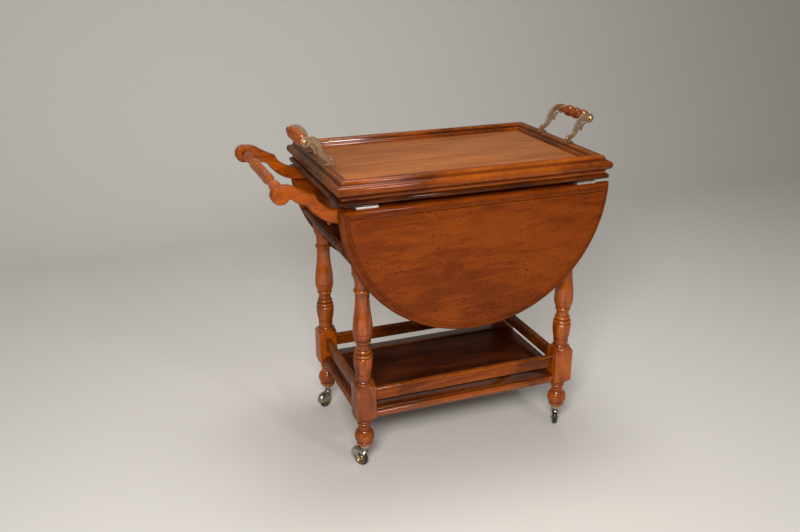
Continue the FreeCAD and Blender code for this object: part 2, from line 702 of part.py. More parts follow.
# ---------------------------------------------------------------- leaves and their hinges

def make_leaf(side, turn):
    """Half-oval leaf, hanging from its straight edge at the body's origin."""
    body = new_body("leaf_" + side)
    sketch = new_sketch(body, "XZ_Plane")
    oval = Part.Ellipse(FreeCAD.Vector(0, 0, 0), number("leaf_length / 2"), number("leaf_depth"))
    arc = sketch.addGeometry(Part.ArcOfEllipse(oval, math.pi, 2 * math.pi))
    edge = sketch.addGeometry(Part.LineSegment(sketch.getPoint(arc, 1), sketch.getPoint(arc, 2)))
    sketch.addConstraint(Sketcher.Constraint("Coincident", edge, 1, arc, 1))
    sketch.addConstraint(Sketcher.Constraint("Coincident", edge, 2, arc, 2))
    sketch.addConstraint(Sketcher.Constraint("Coincident", arc, 3, -1, 1))
    sketch.exposeInternalGeometry(arc)
    for line, formula in ((edge + 1, "leaf_length"), (edge + 2, "(2 * leaf_depth)")):
        index = sketch.addConstraint(Sketcher.Constraint("Distance", line, number(formula)))
        bind(sketch, "Constraints[%d]" % index, formula)
    sketch.addConstraint(Sketcher.Constraint("PointOnObject", arc, 1, -1))
    sketch.addConstraint(Sketcher.Constraint("PointOnObject", arc, 2, -1))
    feature = body.newObject("PartDesign::Pad", body.Name + "_pad")
    feature.Profile = sketch
    bind(feature, "Length", "leaf_thickness")
    doc.recompute()
    face = -number("leaf_thickness")
    round_edges(body, "leaf_edge_radius",
                lambda line: max(abs(line.BoundBox.YMin - face), abs(line.BoundBox.YMax - face)) < same_place)
    place(body, "0", ("-" if side == "front" else "") + "leaf_inner", "leaf_top", str(turn))
    keep(body, "leaf_" + side)


knuckle_length = "((hinge_length - 2 * hinge_joint_gap) / 3)"
knuckle_clear = "(hinge_y - knuckle_radius - hinge_joint_gap)"


def hinge_parts(side, end):
    """Fixed plate, moving plate and pin of one three-knuckle hinge."""
    tag = "_%s_%s" % (side, end)
    sign = "-" if side == "front" else ""
    first = ("-" if end == "left" else "") + "hinge_centre - hinge_length / 2"
    axis_y = sign + "hinge_y"
    starts = [first, "%s + (%s + hinge_joint_gap)" % (first, knuckle_length),
              "%s + 2 * (%s + hinge_joint_gap)" % (first, knuckle_length)]

    def strip(name, x, length, near, far, z, height):
        start, width = outward(side, near, far)
        return block(name + tag, length, width, height, x, start, z)

    plate_z = "(top_base - hinge_plate)"
    fixed = [strip("fixed_plate", first, "hinge_length", "(hinge_y - hinge_plate_reach)",
                   knuckle_clear, plate_z, "hinge_plate")]
    for name, x in (("a", starts[0]), ("c", starts[2])):
        fixed.append(strip("fixed_tab_" + name, x, knuckle_length,
                           "(%s - hinge_tab_lap)" % knuckle_clear, "hinge_y", plate_z, "hinge_plate"))
        fixed.append(rod("fixed_knuckle_" + name + tag, "knuckle_radius", knuckle_length,
                         x, axis_y, "hinge_z", (1, 0, 0)))
    bore = rod("fixed_bore" + tag, "hinge_pin_radius", "hinge_length", first, axis_y, "hinge_z", (1, 0, 0))
    fixed_plate = cut("hinge_fixed" + tag, fuse("hinge_fixed_blank" + tag, fixed), bore)

    back = "(leaf_inner - hinge_plate)"
    moving = [
        strip("strap", first, "hinge_length", back, knuckle_clear, "leaf_top", "hinge_plate"),
        strip("strap_tab", starts[1], knuckle_length, "(%s - hinge_tab_lap)" % knuckle_clear, "hinge_y",
              "leaf_top", "hinge_plate"),
        strip("drop_plate", first, "hinge_length", back, "leaf_inner", "(leaf_top - hinge_leaf_drop)",
              "hinge_leaf_drop"),
        rod("moving_knuckle" + tag, "(knuckle_radius - knuckle_relief)", knuckle_length,
            starts[1], axis_y, "hinge_z", (1, 0, 0)),
    ]
    running = rod("moving_bore" + tag, "(hinge_pin_radius + hinge_clearance)", "hinge_length",
                  first, axis_y, "hinge_z", (1, 0, 0))
    moving_plate = cut("hinge_moving" + tag, fuse("hinge_moving_blank" + tag, moving), running)
    pin = rod("hinge_pin" + tag, "hinge_pin_radius", "hinge_length", first, axis_y, "hinge_z", (1, 0, 0))
    return fixed_plate, moving_plate, pin


hardware = []
for side, turn in (("front", 0), ("back", 180)):
    make_leaf(side, turn)
    moving_plates = []
    for end in ("left", "right"):
        fixed_plate, moving_plate, pin = hinge_parts(side, end)
        hardware += [fixed_plate, pin]
        moving_plates.append(moving_plate)
    hardware.append(bracket_pin(side))
    keep(group("leaf_hinge_group_" + side, moving_plates), "leaf_hinges_" + side)
keep(group("hinge_hardware_group", hardware), "top_hinges_and_pins")


# ---------------------------------------------------------------- push handle

# The scrolled part of the arm: how far each point lies from the tray's end (0) to the scroll's
# centre (1), and from the arm's underside at the case (0) up to the scroll's centre (1).
ARM_UNDERSIDE = [("bend", 0.11, 0.07), (0.34, 0.29), (0.43, 0.42), (0.51, 0.6), (0.555, 0.65),
                 ("bend", 0.67, 0.7), (0.785, 0.83)]
ARM_TOP = [("bend", 0.795, 1.235), (0.65, 1.105), (0.43, 0.92), (0.335, 0.87), ("bend", 0.305, 0.755),
           (0.255, 0.66)]


def arm_outline():
    """The scroll's disc, the cusped upper edge and the cusped lower edge of a push arm."""
    low = "(top_base - arm_root_gap - arm_root_height)"
    high = "(top_base - arm_root_gap)"
    root = "-(top_length / 2 - arm_root_length)"

    def points(rows):
        found = []
        for row in rows:
            across = "-(tray_length / 2 + (arm_reach - tray_length / 2) * %g)" % row[-2]
            up = "(%s + (arm_level - %s) * %g)" % (low, low, row[-1])
            found.append(Bend(across, up) if row[0] == "bend" else (across, up))
        return found

    under_case = [(root, low), ("-(top_length / 2 - arm_root_length / 4)", low)]
    scroll = [
        ("-(arm_reach - arm_scroll_radius * 0.89)", "(arm_level - arm_scroll_radius * 0.455)"),
        Bend("-(arm_reach + arm_scroll_radius)", "arm_level"),
        ("-(arm_reach - arm_scroll_radius * 0.3)", "(arm_level + arm_scroll_radius * 0.954)"),
    ]
    over_case = [
        Bend("-(tray_length / 2 + (arm_reach - tray_length / 2) * 0.14)",
             "(%s + arm_root_height * 0.47)" % high),
        ("-(top_length / 2 - tray_end_lap)", "(%s + arm_root_gap * 0.3)" % high),
        ("-(top_length / 2 - arm_root_length / 4)", high),
        (root, high),
    ]
    return under_case + points(ARM_UNDERSIDE) + scroll + points(ARM_TOP) + over_case


def make_push_arm(side):
    body = new_body("push_arm_" + side)
    pad(body, "XZ_Plane", arm_outline(), "arm_thickness")
    place(body, y="-(case_width / 2)" if side == "front" else "(case_width / 2 + arm_thickness)")
    keep(body, "push_arm_" + side)


def mirrored(middle, profile):
    """A turning about the Y axis with a bead of the given radius at its middle.

    The profile goes on from the bead's shoulder, as (distance from the middle, radius).
    """
    def row(item, sign):
        radius, along = item[-1], "%s(%s)" % (sign, item[-2])
        return Bend(radius, along) if item[0] == "bend" else (radius, along)
    far = [row(item, "") for item in profile]
    near = [row(item, "-") for item in reversed(profile)]
    last = profile[-1][-2]
    return near + [Bend(middle, "0")] + far + [("0", "(%s)" % last), ("0", "-(%s)" % last)]


def make_push_bar():
    body = new_body("push_bar")
    half = "case_width / 2"
    turned(body, mirrored("(push_bar_radius * 0.96)", [
        (half + " * 0.045", "push_bar_ring"),
        ("bend", half + " * 0.31", "push_bar_radius"),
        (half + " * 0.55", "push_bar_waist"),
        (half + " * 0.59", "push_bar_waist"),
        ("bend", half + " * 0.76", "push_bar_radius"),
        (half + " * 0.93", "push_bar_waist * 1.15"),
        (half, "push_bar_waist * 1.15"),
    ]), plane="XY_Plane")
    place(body, "-(arm_reach - push_bar_inset)", "0", "(arm_level + push_bar_lift)")
    keep(body, "push_bar")


for side in ("front", "back"):
    make_push_arm(side)
make_push_bar()


# ---------------------------------------------------------------- lower shelf

SIDES = [
    ("front", 180, "shelf_width", "leg_spacing_wide", "block_inner_y", "block_inner_x"),
    ("back", 0, "shelf_width", "leg_spacing_wide", "block_inner_y", "block_inner_x"),
    ("left", 90, "shelf_length", "leg_spacing_long", "block_inner_x", "block_inner_y"),
    ("right", -90, "shelf_length", "leg_spacing_long", "block_inner_x", "block_inner_y"),
]


def make_shelf_edge(side, turn, overall, inner, half_length):
    """Moulded edge board between two leg blocks."""
    body = new_body("shelf_edge_" + side)
    outer = "%s / 2" % overall
    pad(body, "YZ_Plane", [
        (inner, "0"),
        ("(%s - shelf_thickness * 0.4)" % outer, "0"),
        Bend("(%s)" % outer, "(shelf_thickness * 0.43)"),
        ("(%s - shelf_thickness * 0.25)" % outer, "(shelf_thickness * 0.84)"),
        ("(%s - shelf_thickness * 0.45)" % outer, "(shelf_thickness * 0.88)"),
        ("(%s - shelf_thickness * 0.45)" % outer, "shelf_thickness"),
        (inner, "shelf_thickness"),
    ], "(2 * %s)" % half_length, middle=True)
    place(body, z="shelf_base", turn=str(turn))
    keep(body, "shelf_edge_" + side)


def make_gallery_rail(side, turn, spacing, half_length):
    """Round-topped rail standing between two leg blocks, clear of the shelf."""
    body = new_body("gallery_rail_" + side)
    inner = "(%s / 2 - rail_thickness / 2)" % spacing
    outer = "(%s / 2 + rail_thickness / 2)" % spacing
    shoulder = "(rail_height - rail_thickness / 2)"
    pad(body, "YZ_Plane", [
        (inner, "0"),
        (outer, "0"),
        (outer, shoulder),
        Bend("(%s / 2)" % spacing, "rail_height"),
        (inner, shoulder),
    ], "(2 * %s)" % half_length, middle=True)
    place(body, z="(shelf_top + rail_gap)", turn=str(turn))
    keep(body, "gallery_rail_" + side)


for side, turn, overall, spacing, inner, half_length in SIDES:
    make_shelf_edge(side, turn, overall, inner, half_length)
    make_gallery_rail(side, turn, spacing, half_length)
keep(block("shelf_panel", "(2 * block_inner_x)", "(2 * block_inner_y)", "shelf_panel_thickness",
           "-block_inner_x", "-block_inner_y",
           "(shelf_top - shelf_panel_drop - shelf_panel_thickness)"), "shelf_panel")


# ---------------------------------------------------------------- drawer

drawer_half = "(case_width / 2 - case_wall - drawer_gap)"
drawer_base = "(case_base + drawer_gap)"
drawer_front_height = "(case_height - 2 * drawer_gap)"
drawer_side_height = "(case_height - 2 * drawer_gap - drawer_side_drop)"
drawer_face = "-(case_length / 2)"
drawer_inside = "-(case_length / 2 - drawer_front_thickness)"
drawer_inner_half = "(case_width / 2 - case_wall - drawer_gap - drawer_wall)"

keep(block("drawer_front", "drawer_front_thickness", "(2 * %s)" % drawer_half, drawer_front_height,
           drawer_face, "-" + drawer_half, drawer_base), "drawer_front")
for side, start in (("front", "-" + drawer_half), ("back", drawer_inner_half)):
    keep(block("drawer_side_" + side, "(drawer_depth - drawer_front_thickness)", "drawer_wall",
               drawer_side_height, drawer_inside, start, drawer_base), "drawer_side_" + side)
keep(block("drawer_back", "drawer_wall", "(2 * %s)" % drawer_inner_half, drawer_side_height,
           "(-(case_length / 2) + drawer_depth - drawer_wall)",
           "-" + drawer_inner_half, drawer_base), "drawer_back")
keep(block("drawer_bottom", "(drawer_depth - drawer_front_thickness - drawer_wall)",
           "(2 * %s)" % drawer_inner_half, "drawer_floor", drawer_inside, "-" + drawer_inner_half,
           "(%s + drawer_floor_lift)" % drawer_base), "drawer_bottom")

pull_z = "(case_base + case_height / 2 - pull_drop)"
stem = rod("pull_stem", "pull_stem_radius", "(pull_length - pull_radius)",
           drawer_face, "0", pull_z, (-1, 0, 0))
ball = doc.addObject("Part::Sphere", "pull_ball")
bind(ball, "Radius", "pull_radius")
place(ball, "(%s - pull_length + pull_radius)" % drawer_face, "0", pull_z)
keep(fuse("drawer_pull", [stem, ball]), "drawer_pull")


# ---------------------------------------------------------------- lift-off tray

frame_width = "(tray_rim_width + tray_bevel_width)"
rim_foot = "(tray_panel_level + tray_panel_lip)"

# Moulding section of the tray's rim, as shares: inset from the round nose over the rim's width,
# and height over the tray's height.
TRAY_SECTION = [
    (0.36, 0), (0.36, 0.1), ("bend", 0.33, 0.21), (0.24, 0.27), ("bend", 0, 0.49), (0.24, 0.72),
    (0.38, 0.76), (0.42, 0.81), ("bend", 0.47, 0.92), (0.59, 1), (0.82, 1), ("bend", 0.955, 0.95), (1, 0.86),
]


def make_tray_frame(side, turn, overall, length):
    """Moulded frame board of the tray, mitred at both ends."""
    body = new_body("tray_frame_" + side)
    outer = "%s / 2" % overall
    section = []
    for row in TRAY_SECTION:
        across = "(%s - tray_rim_width * %g)" % (outer, row[-2])
        up = "(tray_height * %g)" % row[-1]
        section.append(Bend(across, up) if row[0] == "bend" else (across, up))
    inner = "(%s - %s)" % (outer, frame_width)
    pad(body, "YZ_Plane", section + [(inner, rim_foot), (inner, "0")], length, middle=True)
    mitres = new_sketch(body, "XY_Plane")
    for sign in ("", "-"):
        draw(mitres, [
            ("%s(%s / 2 + tray_panel_lip)" % (sign, length), "(%s + tray_panel_lip)" % outer),
            ("%s(%s / 2 + tray_panel_lip)" % (sign, length), "(%s - tray_panel_lip)" % inner),
            ("%s(%s / 2 - %s - tray_panel_lip)" % (sign, length, frame_width),
             "(%s - tray_panel_lip)" % inner),
        ])
    feature = body.newObject("PartDesign::Pocket", body.Name + "_mitres")
    feature.Profile = mitres
    feature.SideType = "Symmetric"
    bind(feature, "Length", "(3 * tray_height)")
    doc.recompute()
    place(body, z="tray_base", turn=str(turn))
    keep(body, "tray_frame_" + side)


for side, turn, overall, length in (
        ("front", 180, "tray_width", "tray_length"), ("back", 0, "tray_width", "tray_length"),
        ("left", 90, "tray_length", "tray_width"), ("right", -90, "tray_length", "tray_width")):
    make_tray_frame(side, turn, overall, length)
panel_x = "(tray_length / 2 - tray_rim_width - tray_bevel_width)"
panel_y = "(tray_width / 2 - tray_rim_width - tray_bevel_width)"
keep(block("tray_panel", "(2 * %s)" % panel_x, "(2 * %s)" % panel_y, "tray_panel_thickness",
           "-" + panel_x, "-" + panel_y,
           "(tray_base + tray_panel_level - tray_panel_thickness)"), "tray_panel")

# Outline of a tray handle's arm, as shares: from the grip's axis (0) inward to the end of the
# foot (1), and from the tray's rim (0) up to the grip's axis (1).
HANDLE_ARM_LOWER = [(0.83, 0), (0.6, 0), (0.6, 0.08), ("bend", 0.52, 0.38), (0.42, 0.57),
                    ("bend", 0.37, 0.82), (0.19, 0.93)]
HANDLE_ARM_UPPER = [("bend", 0.4, 1.12), (0.59, 0.78), ("bend", 0.66, 0.52), (0.78, 0.39),
                    (0.89, 0.36), ("bend", 1.01, 0.19), (0.98, 0)]


def make_handle_arm(end, side):
    """Cast arm: a round eye at the grip, an arched strap, and a foot on the tray's rim."""
    body = new_body("tray_arm_%s_%s" % (end, side))

    def points(rows):
        found = []
        for row in rows:
            across = "(handle_reach - handle_foot_reach * %g)" % row[-2]
            up = "(tray_height + (handle_rise - tray_height) * %g)" % row[-1]
            found.append(Bend(across, up) if row[0] == "bend" else (across, up))
        return found

    eye = [
        ("(handle_reach - handle_eye_radius * 0.8)", "(handle_rise - handle_eye_radius * 0.6)"),
        Bend("(handle_reach + handle_eye_radius * 0.924)", "(handle_rise - handle_eye_radius * 0.383)"),
        ("handle_reach", "(handle_rise + handle_eye_radius)"),
    ]
    pad(body, "XZ_Plane", points(HANDLE_ARM_LOWER) + eye + points(HANDLE_ARM_UPPER), "handle_arm_thickness")
    inner = "handle_spacing / 2 - handle_arm_thickness"
    outer = "handle_spacing / 2"
    starts = {"rightfront": "-(%s)" % inner, "rightback": outer, "leftfront": "-" + outer, "leftback": inner}
    place(body, "0", starts[end + side], "tray_base", "180" if end == "left" else "0")
    keep(body, "tray_arm_%s_%s" % (end, side))


def make_grip(end):
    """Turned wooden grip of three beads between the two arms of a tray handle."""
    body = new_body("tray_grip_" + end)
    half = "(handle_spacing / 2 - handle_arm_thickness)"
    turned(body, mirrored("grip_radius", [
        (half + " * 0.26", "grip_groove_radius"),
        ("bend", half + " * 0.52", "grip_radius"),
        (half + " * 0.78", "grip_waist"),
        (half, "grip_waist"),
    ]), plane="XY_Plane")
    place(body, ("-" if end == "left" else "") + "handle_reach", "0", "(tray_base + handle_rise)")
    keep(body, "tray_grip_" + end)


def handle_fasteners(end, side):
    """Domed nut at the grip's end and the screw head on the arm's foot."""
    tag = "_%s_%s" % (end, side)
    x_sign = "-" if end == "left" else ""
    face = ("-" if side == "front" else "") + "(handle_spacing / 2)"
    out = -1 if side == "front" else 1
    nut = rod("grip_nut" + tag, "nut_radius", "nut_length",
              x_sign + "handle_reach", face, "(tray_base + handle_rise)", (0, out, 0))
    screw = rod("foot_screw" + tag, "screw_radius", "screw_height",
                x_sign + "(handle_reach - handle_foot_reach * 0.88)", face,
                "(tray_base + tray_height + (handle_rise - tray_height) * 0.22)", (0, out, 0))
    return [nut, screw]


fasteners = []
for end in ("left", "right"):
    make_grip(end)
    for side in ("front", "back"):
        make_handle_arm(end, side)
        fasteners += handle_fasteners(end, side)
keep(group("tray_fastener_group", fasteners), "tray_handle_fasteners")


# ---------------------------------------------------------------- check and export

doc.recompute()
for feature in doc.Objects:
    if any(word in str(feature.State) for word in ("Invalid", "Error")):
        raise RuntimeError("%s is in state %s" % (feature.Label, feature.State))
os.makedirs("parts", exist_ok=True)
for feature in nodes:
    shape = feature.Shape
    if shape.isNull() or not shape.isValid():
        raise RuntimeError("%s has no valid shape" % feature.Label)
    shape.exportStep("parts/%s.step" % feature.Label)
print("%d sub-parts written" % len(nodes))
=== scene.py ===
import math

import bpy
import numpy as np
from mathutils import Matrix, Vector


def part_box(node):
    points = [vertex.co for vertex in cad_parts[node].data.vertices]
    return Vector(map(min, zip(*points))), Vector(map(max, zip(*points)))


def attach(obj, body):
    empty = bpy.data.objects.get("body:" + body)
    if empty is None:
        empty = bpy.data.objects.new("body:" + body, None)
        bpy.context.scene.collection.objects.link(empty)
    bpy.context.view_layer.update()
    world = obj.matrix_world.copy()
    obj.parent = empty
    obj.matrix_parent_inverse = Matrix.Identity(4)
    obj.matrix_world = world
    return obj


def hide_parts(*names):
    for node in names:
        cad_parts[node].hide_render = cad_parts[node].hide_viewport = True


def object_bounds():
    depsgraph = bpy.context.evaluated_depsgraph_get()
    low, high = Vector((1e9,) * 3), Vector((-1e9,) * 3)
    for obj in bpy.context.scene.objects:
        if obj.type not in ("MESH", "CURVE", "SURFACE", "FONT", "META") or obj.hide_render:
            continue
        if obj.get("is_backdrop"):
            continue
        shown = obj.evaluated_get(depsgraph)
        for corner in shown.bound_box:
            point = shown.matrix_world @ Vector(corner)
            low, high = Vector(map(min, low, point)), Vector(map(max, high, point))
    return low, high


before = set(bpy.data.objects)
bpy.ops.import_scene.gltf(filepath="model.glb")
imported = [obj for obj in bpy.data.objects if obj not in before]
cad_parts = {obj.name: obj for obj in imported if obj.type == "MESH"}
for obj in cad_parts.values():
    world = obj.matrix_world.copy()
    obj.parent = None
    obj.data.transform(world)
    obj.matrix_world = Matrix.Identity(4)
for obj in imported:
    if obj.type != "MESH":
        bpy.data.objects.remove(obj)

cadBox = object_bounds()
mm = 0.001
print("stage: frame loaded,", len(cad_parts), "nodes")


# Outlines: a list of (across, up) corners in millimetres; a third value marks a point
# that the line passes in a circular arc between the corners beside it.

softened = {
    "share": 0.45,  # a corner takes this share of either stretch at most
    "straight": 0.985,  # cosine of a turn so slight that the corner stays as it is
    "points": 4, "roundPoints": 9, "roundFrom": 1.5,  # points in a corner, and in one at least that soft
}
flatArc = 1e-7


def arcThrough(a, m, b, step):
    # circle through a, m, b: centre c where |a-c| = |m-c| = |b-c|; points c + r (cos t, sin t)
    d = 2 * (a[0] * (m[1] - b[1]) + m[0] * (b[1] - a[1]) + b[0] * (a[1] - m[1]))
    if abs(d) < flatArc:
        return np.array([a, b])
    a2, m2, b2 = a @ a, m @ m, b @ b
    c = np.array([(a2 * (m[1] - b[1]) + m2 * (b[1] - a[1]) + b2 * (a[1] - m[1])) / d,
                  (a2 * (b[0] - m[0]) + m2 * (a[0] - b[0]) + b2 * (m[0] - a[0])) / d])
    r = np.hypot(*(a - c))
    ta, tm, tb = (math.atan2(*(p - c)[::-1]) for p in (a, m, b))
    turn = (tb - ta) % (2 * math.pi)
    if (tm - ta) % (2 * math.pi) > turn:
        turn -= 2 * math.pi
    t = ta + np.linspace(0, turn, max(3, int(abs(turn) * r / step) + 2))
    return c + r * np.stack([np.cos(t), np.sin(t)], 1)


def outline(corners, closed=False, step=1.3, soft=0.45):
    # stretches joined end to end, with each corner p replaced by the parabola
    # (1-t)^2 (p - s u) + 2t(1-t) p + t^2 (p + s v), u and v being its two directions
    marks = [i for i, c in enumerate(corners) if len(c) == 2]
    stretches = []
    for k, i in enumerate(marks):
        if k == len(marks) - 1 and not closed:
            break
        j = marks[(k + 1) % len(marks)]
        a, b = (np.array(corners[q][:2], float) for q in (i, j))
        between = corners[(i + 1) % len(corners)]
        stretches.append(arcThrough(a, np.array(between[:2], float), b, step) if len(between) == 3
                         else np.array([a, b]))
    line = []
    count = len(stretches)
    for k, points in enumerate(stretches):
        after = stretches[(k + 1) % count] if closed or k < count - 1 else None
        line.append(points[1:-1] if line or closed else points[:-1])
        p = points[-1]
        if after is None:
            line.append(p[None])
            continue
        u, v = p - points[-2], after[1] - p
        lu, lv = np.hypot(*u), np.hypot(*v)
        s = min(soft, lu * softened["share"], lv * softened["share"])
        u, v = u / lu, v / lv
        if u @ v > softened["straight"]:
            line.append(p[None])
            continue
        t = np.linspace(0, 1, softened["points" if soft < softened["roundFrom"] else "roundPoints"])[:, None]
        line.append((1 - t) ** 2 * (p - s * u) + 2 * t * (1 - t) * p + t ** 2 * (p + s * v))
    return np.concatenate(line)


def turningOf(line):
    # 1 for a closed line that runs anticlockwise, else -1: the sign of sum(x_i y_j - x_j y_i), j = i + 1
    x, y = line[:, 0], line[:, 1]
    return np.sign(np.sum(x * np.roll(y, -1) - np.roll(x, -1) * y))


# how far a line is smoothed, and the depth that counts as a full hollow or edge, in millimetres
reliefScale = {"moulding": (2.6, 0.55), "cut": (1.6, 0.45), "ring": (3.2, 0.9), "leaf": (2.2, 0.22)}


def reliefOf(line, scale, closed=False):
    # how far each point lies under (+) or over (-) the line's own smoothed course, along its normal;
    # smoothed = the mean of the line's points weighted by exp(-(distance along the line / reach)^2)
    reach, depth = reliefScale[scale]
    ahead = np.roll(line, -1, 0) - line
    length = np.hypot(ahead[:, 0], ahead[:, 1])
    s = np.concatenate([[0], np.cumsum(length)[:-1]])
    gap = np.abs(s[:, None] - s[None])
    if closed:
        gap = np.minimum(gap, length.sum() - gap)
        tangent = np.roll(line, -1, 0) - np.roll(line, 1, 0)
    else:
        length[-1] = length[-2]
        tangent = np.gradient(line, axis=0)
    share = (length + np.roll(length, 1)) / 2
    weight = np.exp(-(gap / reach) ** 2) * share[None]
    smooth = weight @ line / weight.sum(1, keepdims=True)
    normal = np.stack([tangent[:, 1], -tangent[:, 0]], 1)
    normal /= np.maximum(np.hypot(normal[:, 0], normal[:, 1]), 1e-9)[:, None]
    under = np.sum((smooth - line) * normal, 1)
    if closed:
        under = under * turningOf(line)
    else:
        under[:2] = under[-2:] = 0
    return np.clip(under / depth, -1, 1)


# Surfaces: every maker returns (points in mm, faces, relief).

def gridPart(points, relief=0.0, ring=True, caps=True):
    # quads between neighbouring rows and columns; ring joins the last column to the first,
    # and caps closes the first and last row with one face each
    rows, columns = points.shape[:2]
    i, j = np.meshgrid(np.arange(rows - 1), np.arange(columns if ring else columns - 1), indexing="ij")
    here, beside = i * columns + j, i * columns + (j + 1) % columns
    faces = np.stack([here, beside, beside + columns, here + columns], -1).reshape(-1, 4).tolist()
    if caps:
        faces.append(list(range(columns))[::-1])
        faces.append(list(range((rows - 1) * columns, rows * columns)))
    return points.reshape(-1, 3), faces, np.broadcast_to(relief, (rows, columns)).reshape(-1)


turning = {
    # a square block's plan: its power, and the degrees beside its corners that get points of their own
    "power": 46, "besideCorner": (-3, -1.5, 1.5, 3),
    # the tone of its corners, lighter with wear and painted highlight, and the share of its radius that it
    # fades over
    "worn": -0.75, "wornOver": 0.05,
}


def turnedPart(profile, sides=72, square=None):
    # radius and height (r, h) turned: (r cos a, r sin a, h); with a square stock of half side q,
    # r is held to q / (|cos a|^p + |sin a|^p)^(1/p)
    angles = np.arange(sides) / sides * 2 * math.pi
    if square:
        near = np.array(turning["besideCorner"]) * math.pi / 180
        corners = (np.arange(4) * 90 + 45)[:, None] * math.pi / 180 + near
        angles = np.unique(np.round(np.concatenate([angles, corners.ravel()]), 6))
    radius = np.repeat(profile[:, :1], len(angles), 1)
    relief = np.repeat(reliefOf(profile, "moulding")[:, None], len(angles), 1)
    if square:
        p = turning["power"]
        limit = square / (np.abs(np.cos(angles)) ** p + np.abs(np.sin(angles)) ** p) ** (1 / p)
        # wear and painted highlight: the block's corners are lightened along a narrow strip
        worn = turning["worn"] * np.exp(-(np.abs(limit / square - math.sqrt(2)) / turning["wornOver"]))
        relief = np.where(radius > limit, worn, relief)
        radius = np.minimum(radius, limit)
    grid = np.stack([radius * np.cos(angles), radius * np.sin(angles),
                     np.repeat(profile[:, 1:2], len(angles), 1)], -1)
    return gridPart(grid, relief)


def sweptSide(section, reach, along, mitred, dark=None):
    # the section (d, z) carried along x: (t (along - d), reach - d, z), t from -1 to 1; without
    # a mitre the length stays the same for every d; dark is (z, tone of painted shade added to the relief
    # above it)
    t = np.linspace(-1, 1, 9)[:, None]
    d, z = section[:, 0], section[:, 1]
    half = along - d if mitred else np.full(len(d), float(along))
    grid = np.stack([t * half, np.broadcast_to(reach - d, (len(t), len(d))),
                     np.broadcast_to(z, (len(t), len(d)))], -1)
    relief = reliefOf(section, "moulding", True)
    # painted shade: above the given height the relief is pushed towards the glaze-and-shade colour
    if dark:
        relief = np.clip(relief + np.where(z > dark[0], dark[1], 0), -1, 1)
    return gridPart(grid, relief[None])


def mouldedBoard(edge, halfX, halfY, corner=1.6, least=0.15):
    # the edge line (d, z) carried round the rectangle inset by d, with corners of radius corner - d,
    # never under the least; both faces are closed flat
    turns = np.linspace(0, math.pi / 2, 5)
    rows = []
    for d, z in edge:
        r = max(corner - d, least)
        corners = []
        for k, (sx, sy) in enumerate(((1, 1), (-1, 1), (-1, -1), (1, -1))):
            a = turns + k * math.pi / 2
            corners.append(np.stack([sx * (halfX - d - r) + r * np.cos(a),
                                     sy * (halfY - d - r) + r * np.sin(a), np.full(len(a), z)], 1))
        rows.append(np.concatenate(corners))
    return gridPart(np.array(rows), reliefOf(edge, "moulding")[:, None])


def movedIn(line, distance, crossed=0.985):
    # every point of the closed line moved along its inward normal; a point that comes nearer to
    # the line than that share of the distance has crossed, and goes between its uncrossed neighbours
    if distance < 1e-6:
        return line
    tangent = np.roll(line, -1, 0) - np.roll(line, 1, 0)
    tangent /= np.hypot(tangent[:, 0], tangent[:, 1])[:, None]
    moved = line + distance * turningOf(line) * np.stack([-tangent[:, 1], tangent[:, 0]], 1)
    nearest = np.min(np.hypot(*(moved[:, None] - line[None]).transpose(2, 0, 1)), axis=1)
    uncrossed = np.flatnonzero(nearest > distance * crossed)
    index = np.arange(len(line))
    return np.stack([np.interp(index, uncrossed, moved[uncrossed, k], period=len(line)) for k in (0, 1)], 1)


def evenly(line, step):
    # the closed line divided into equal lengths of about one step
    joined = np.concatenate([line, line[:1]])
    s = np.concatenate([[0], np.cumsum(np.hypot(*np.diff(joined, axis=0).T))])
    u = np.linspace(0, s[-1], int(s[-1] / step), endpoint=False)
    return np.stack([np.interp(u, s, joined[:, 0]), np.interp(u, s, joined[:, 1])], 1)


def cutPart(shape, thickness, edge, step=0.9):
    # a closed outline (x, z) cut from a board: each row of the edge line (inset, depth) is the
    # outline moved in by its inset at its depth in y, and the same from the other face
    shape = evenly(shape, step)
    line = outline(edge, step=0.5, soft=0.2)
    rings = {inset: movedIn(shape, inset) for inset in set(line[:, 0])}
    whole = np.concatenate([line, line[::-1] * np.array([1, -1]) + np.array([0, thickness])])
    rows = np.stack([np.insert(rings[inset], 1, depth, axis=1) for inset, depth in whole])
    relief = reliefOf(line, "cut")
    return gridPart(rows, np.concatenate([relief, relief[::-1]])[:, None])


def boxPart(low, high, edge):
    # a block with quarter-round edges of radius e all round its level edges: e (1 - sin a, 1 - cos a)
    low, high = np.asarray(low, float), np.asarray(high, float)
    a = np.linspace(0, math.pi / 2, 3)
    line = np.concatenate([np.stack([edge * (1 - np.sin(a)), low[2] + edge * (1 - np.cos(a))], 1),
                           np.stack([edge * (1 - np.cos(a)), high[2] - edge * (1 - np.sin(a))], 1)])
    half, middle = (high - low) / 2, (high + low) / 2
    points, faces, relief = mouldedBoard(line, half[0], half[1], corner=edge + 0.2)
    return points + np.array([middle[0], middle[1], 0]), faces, relief


def ringPart(section, sides):
    # a closed section (radius, height) turned into a ring: (r cos a, r sin a, h)
    a = np.arange(sides) / sides * 2 * math.pi
    grid = np.stack([np.cos(a)[:, None] * section[:, 0], np.sin(a)[:, None] * section[:, 0],
                     np.broadcast_to(section[:, 1], (sides, len(section)))], -1)
    grid = np.concatenate([grid, grid[:1]])
    points, faces, relief = gridPart(grid, reliefOf(section, "ring", True)[None], caps=False)
    count = sides * len(section)
    return points[:count], [[v % count for v in face] for face in faces], relief[:count]


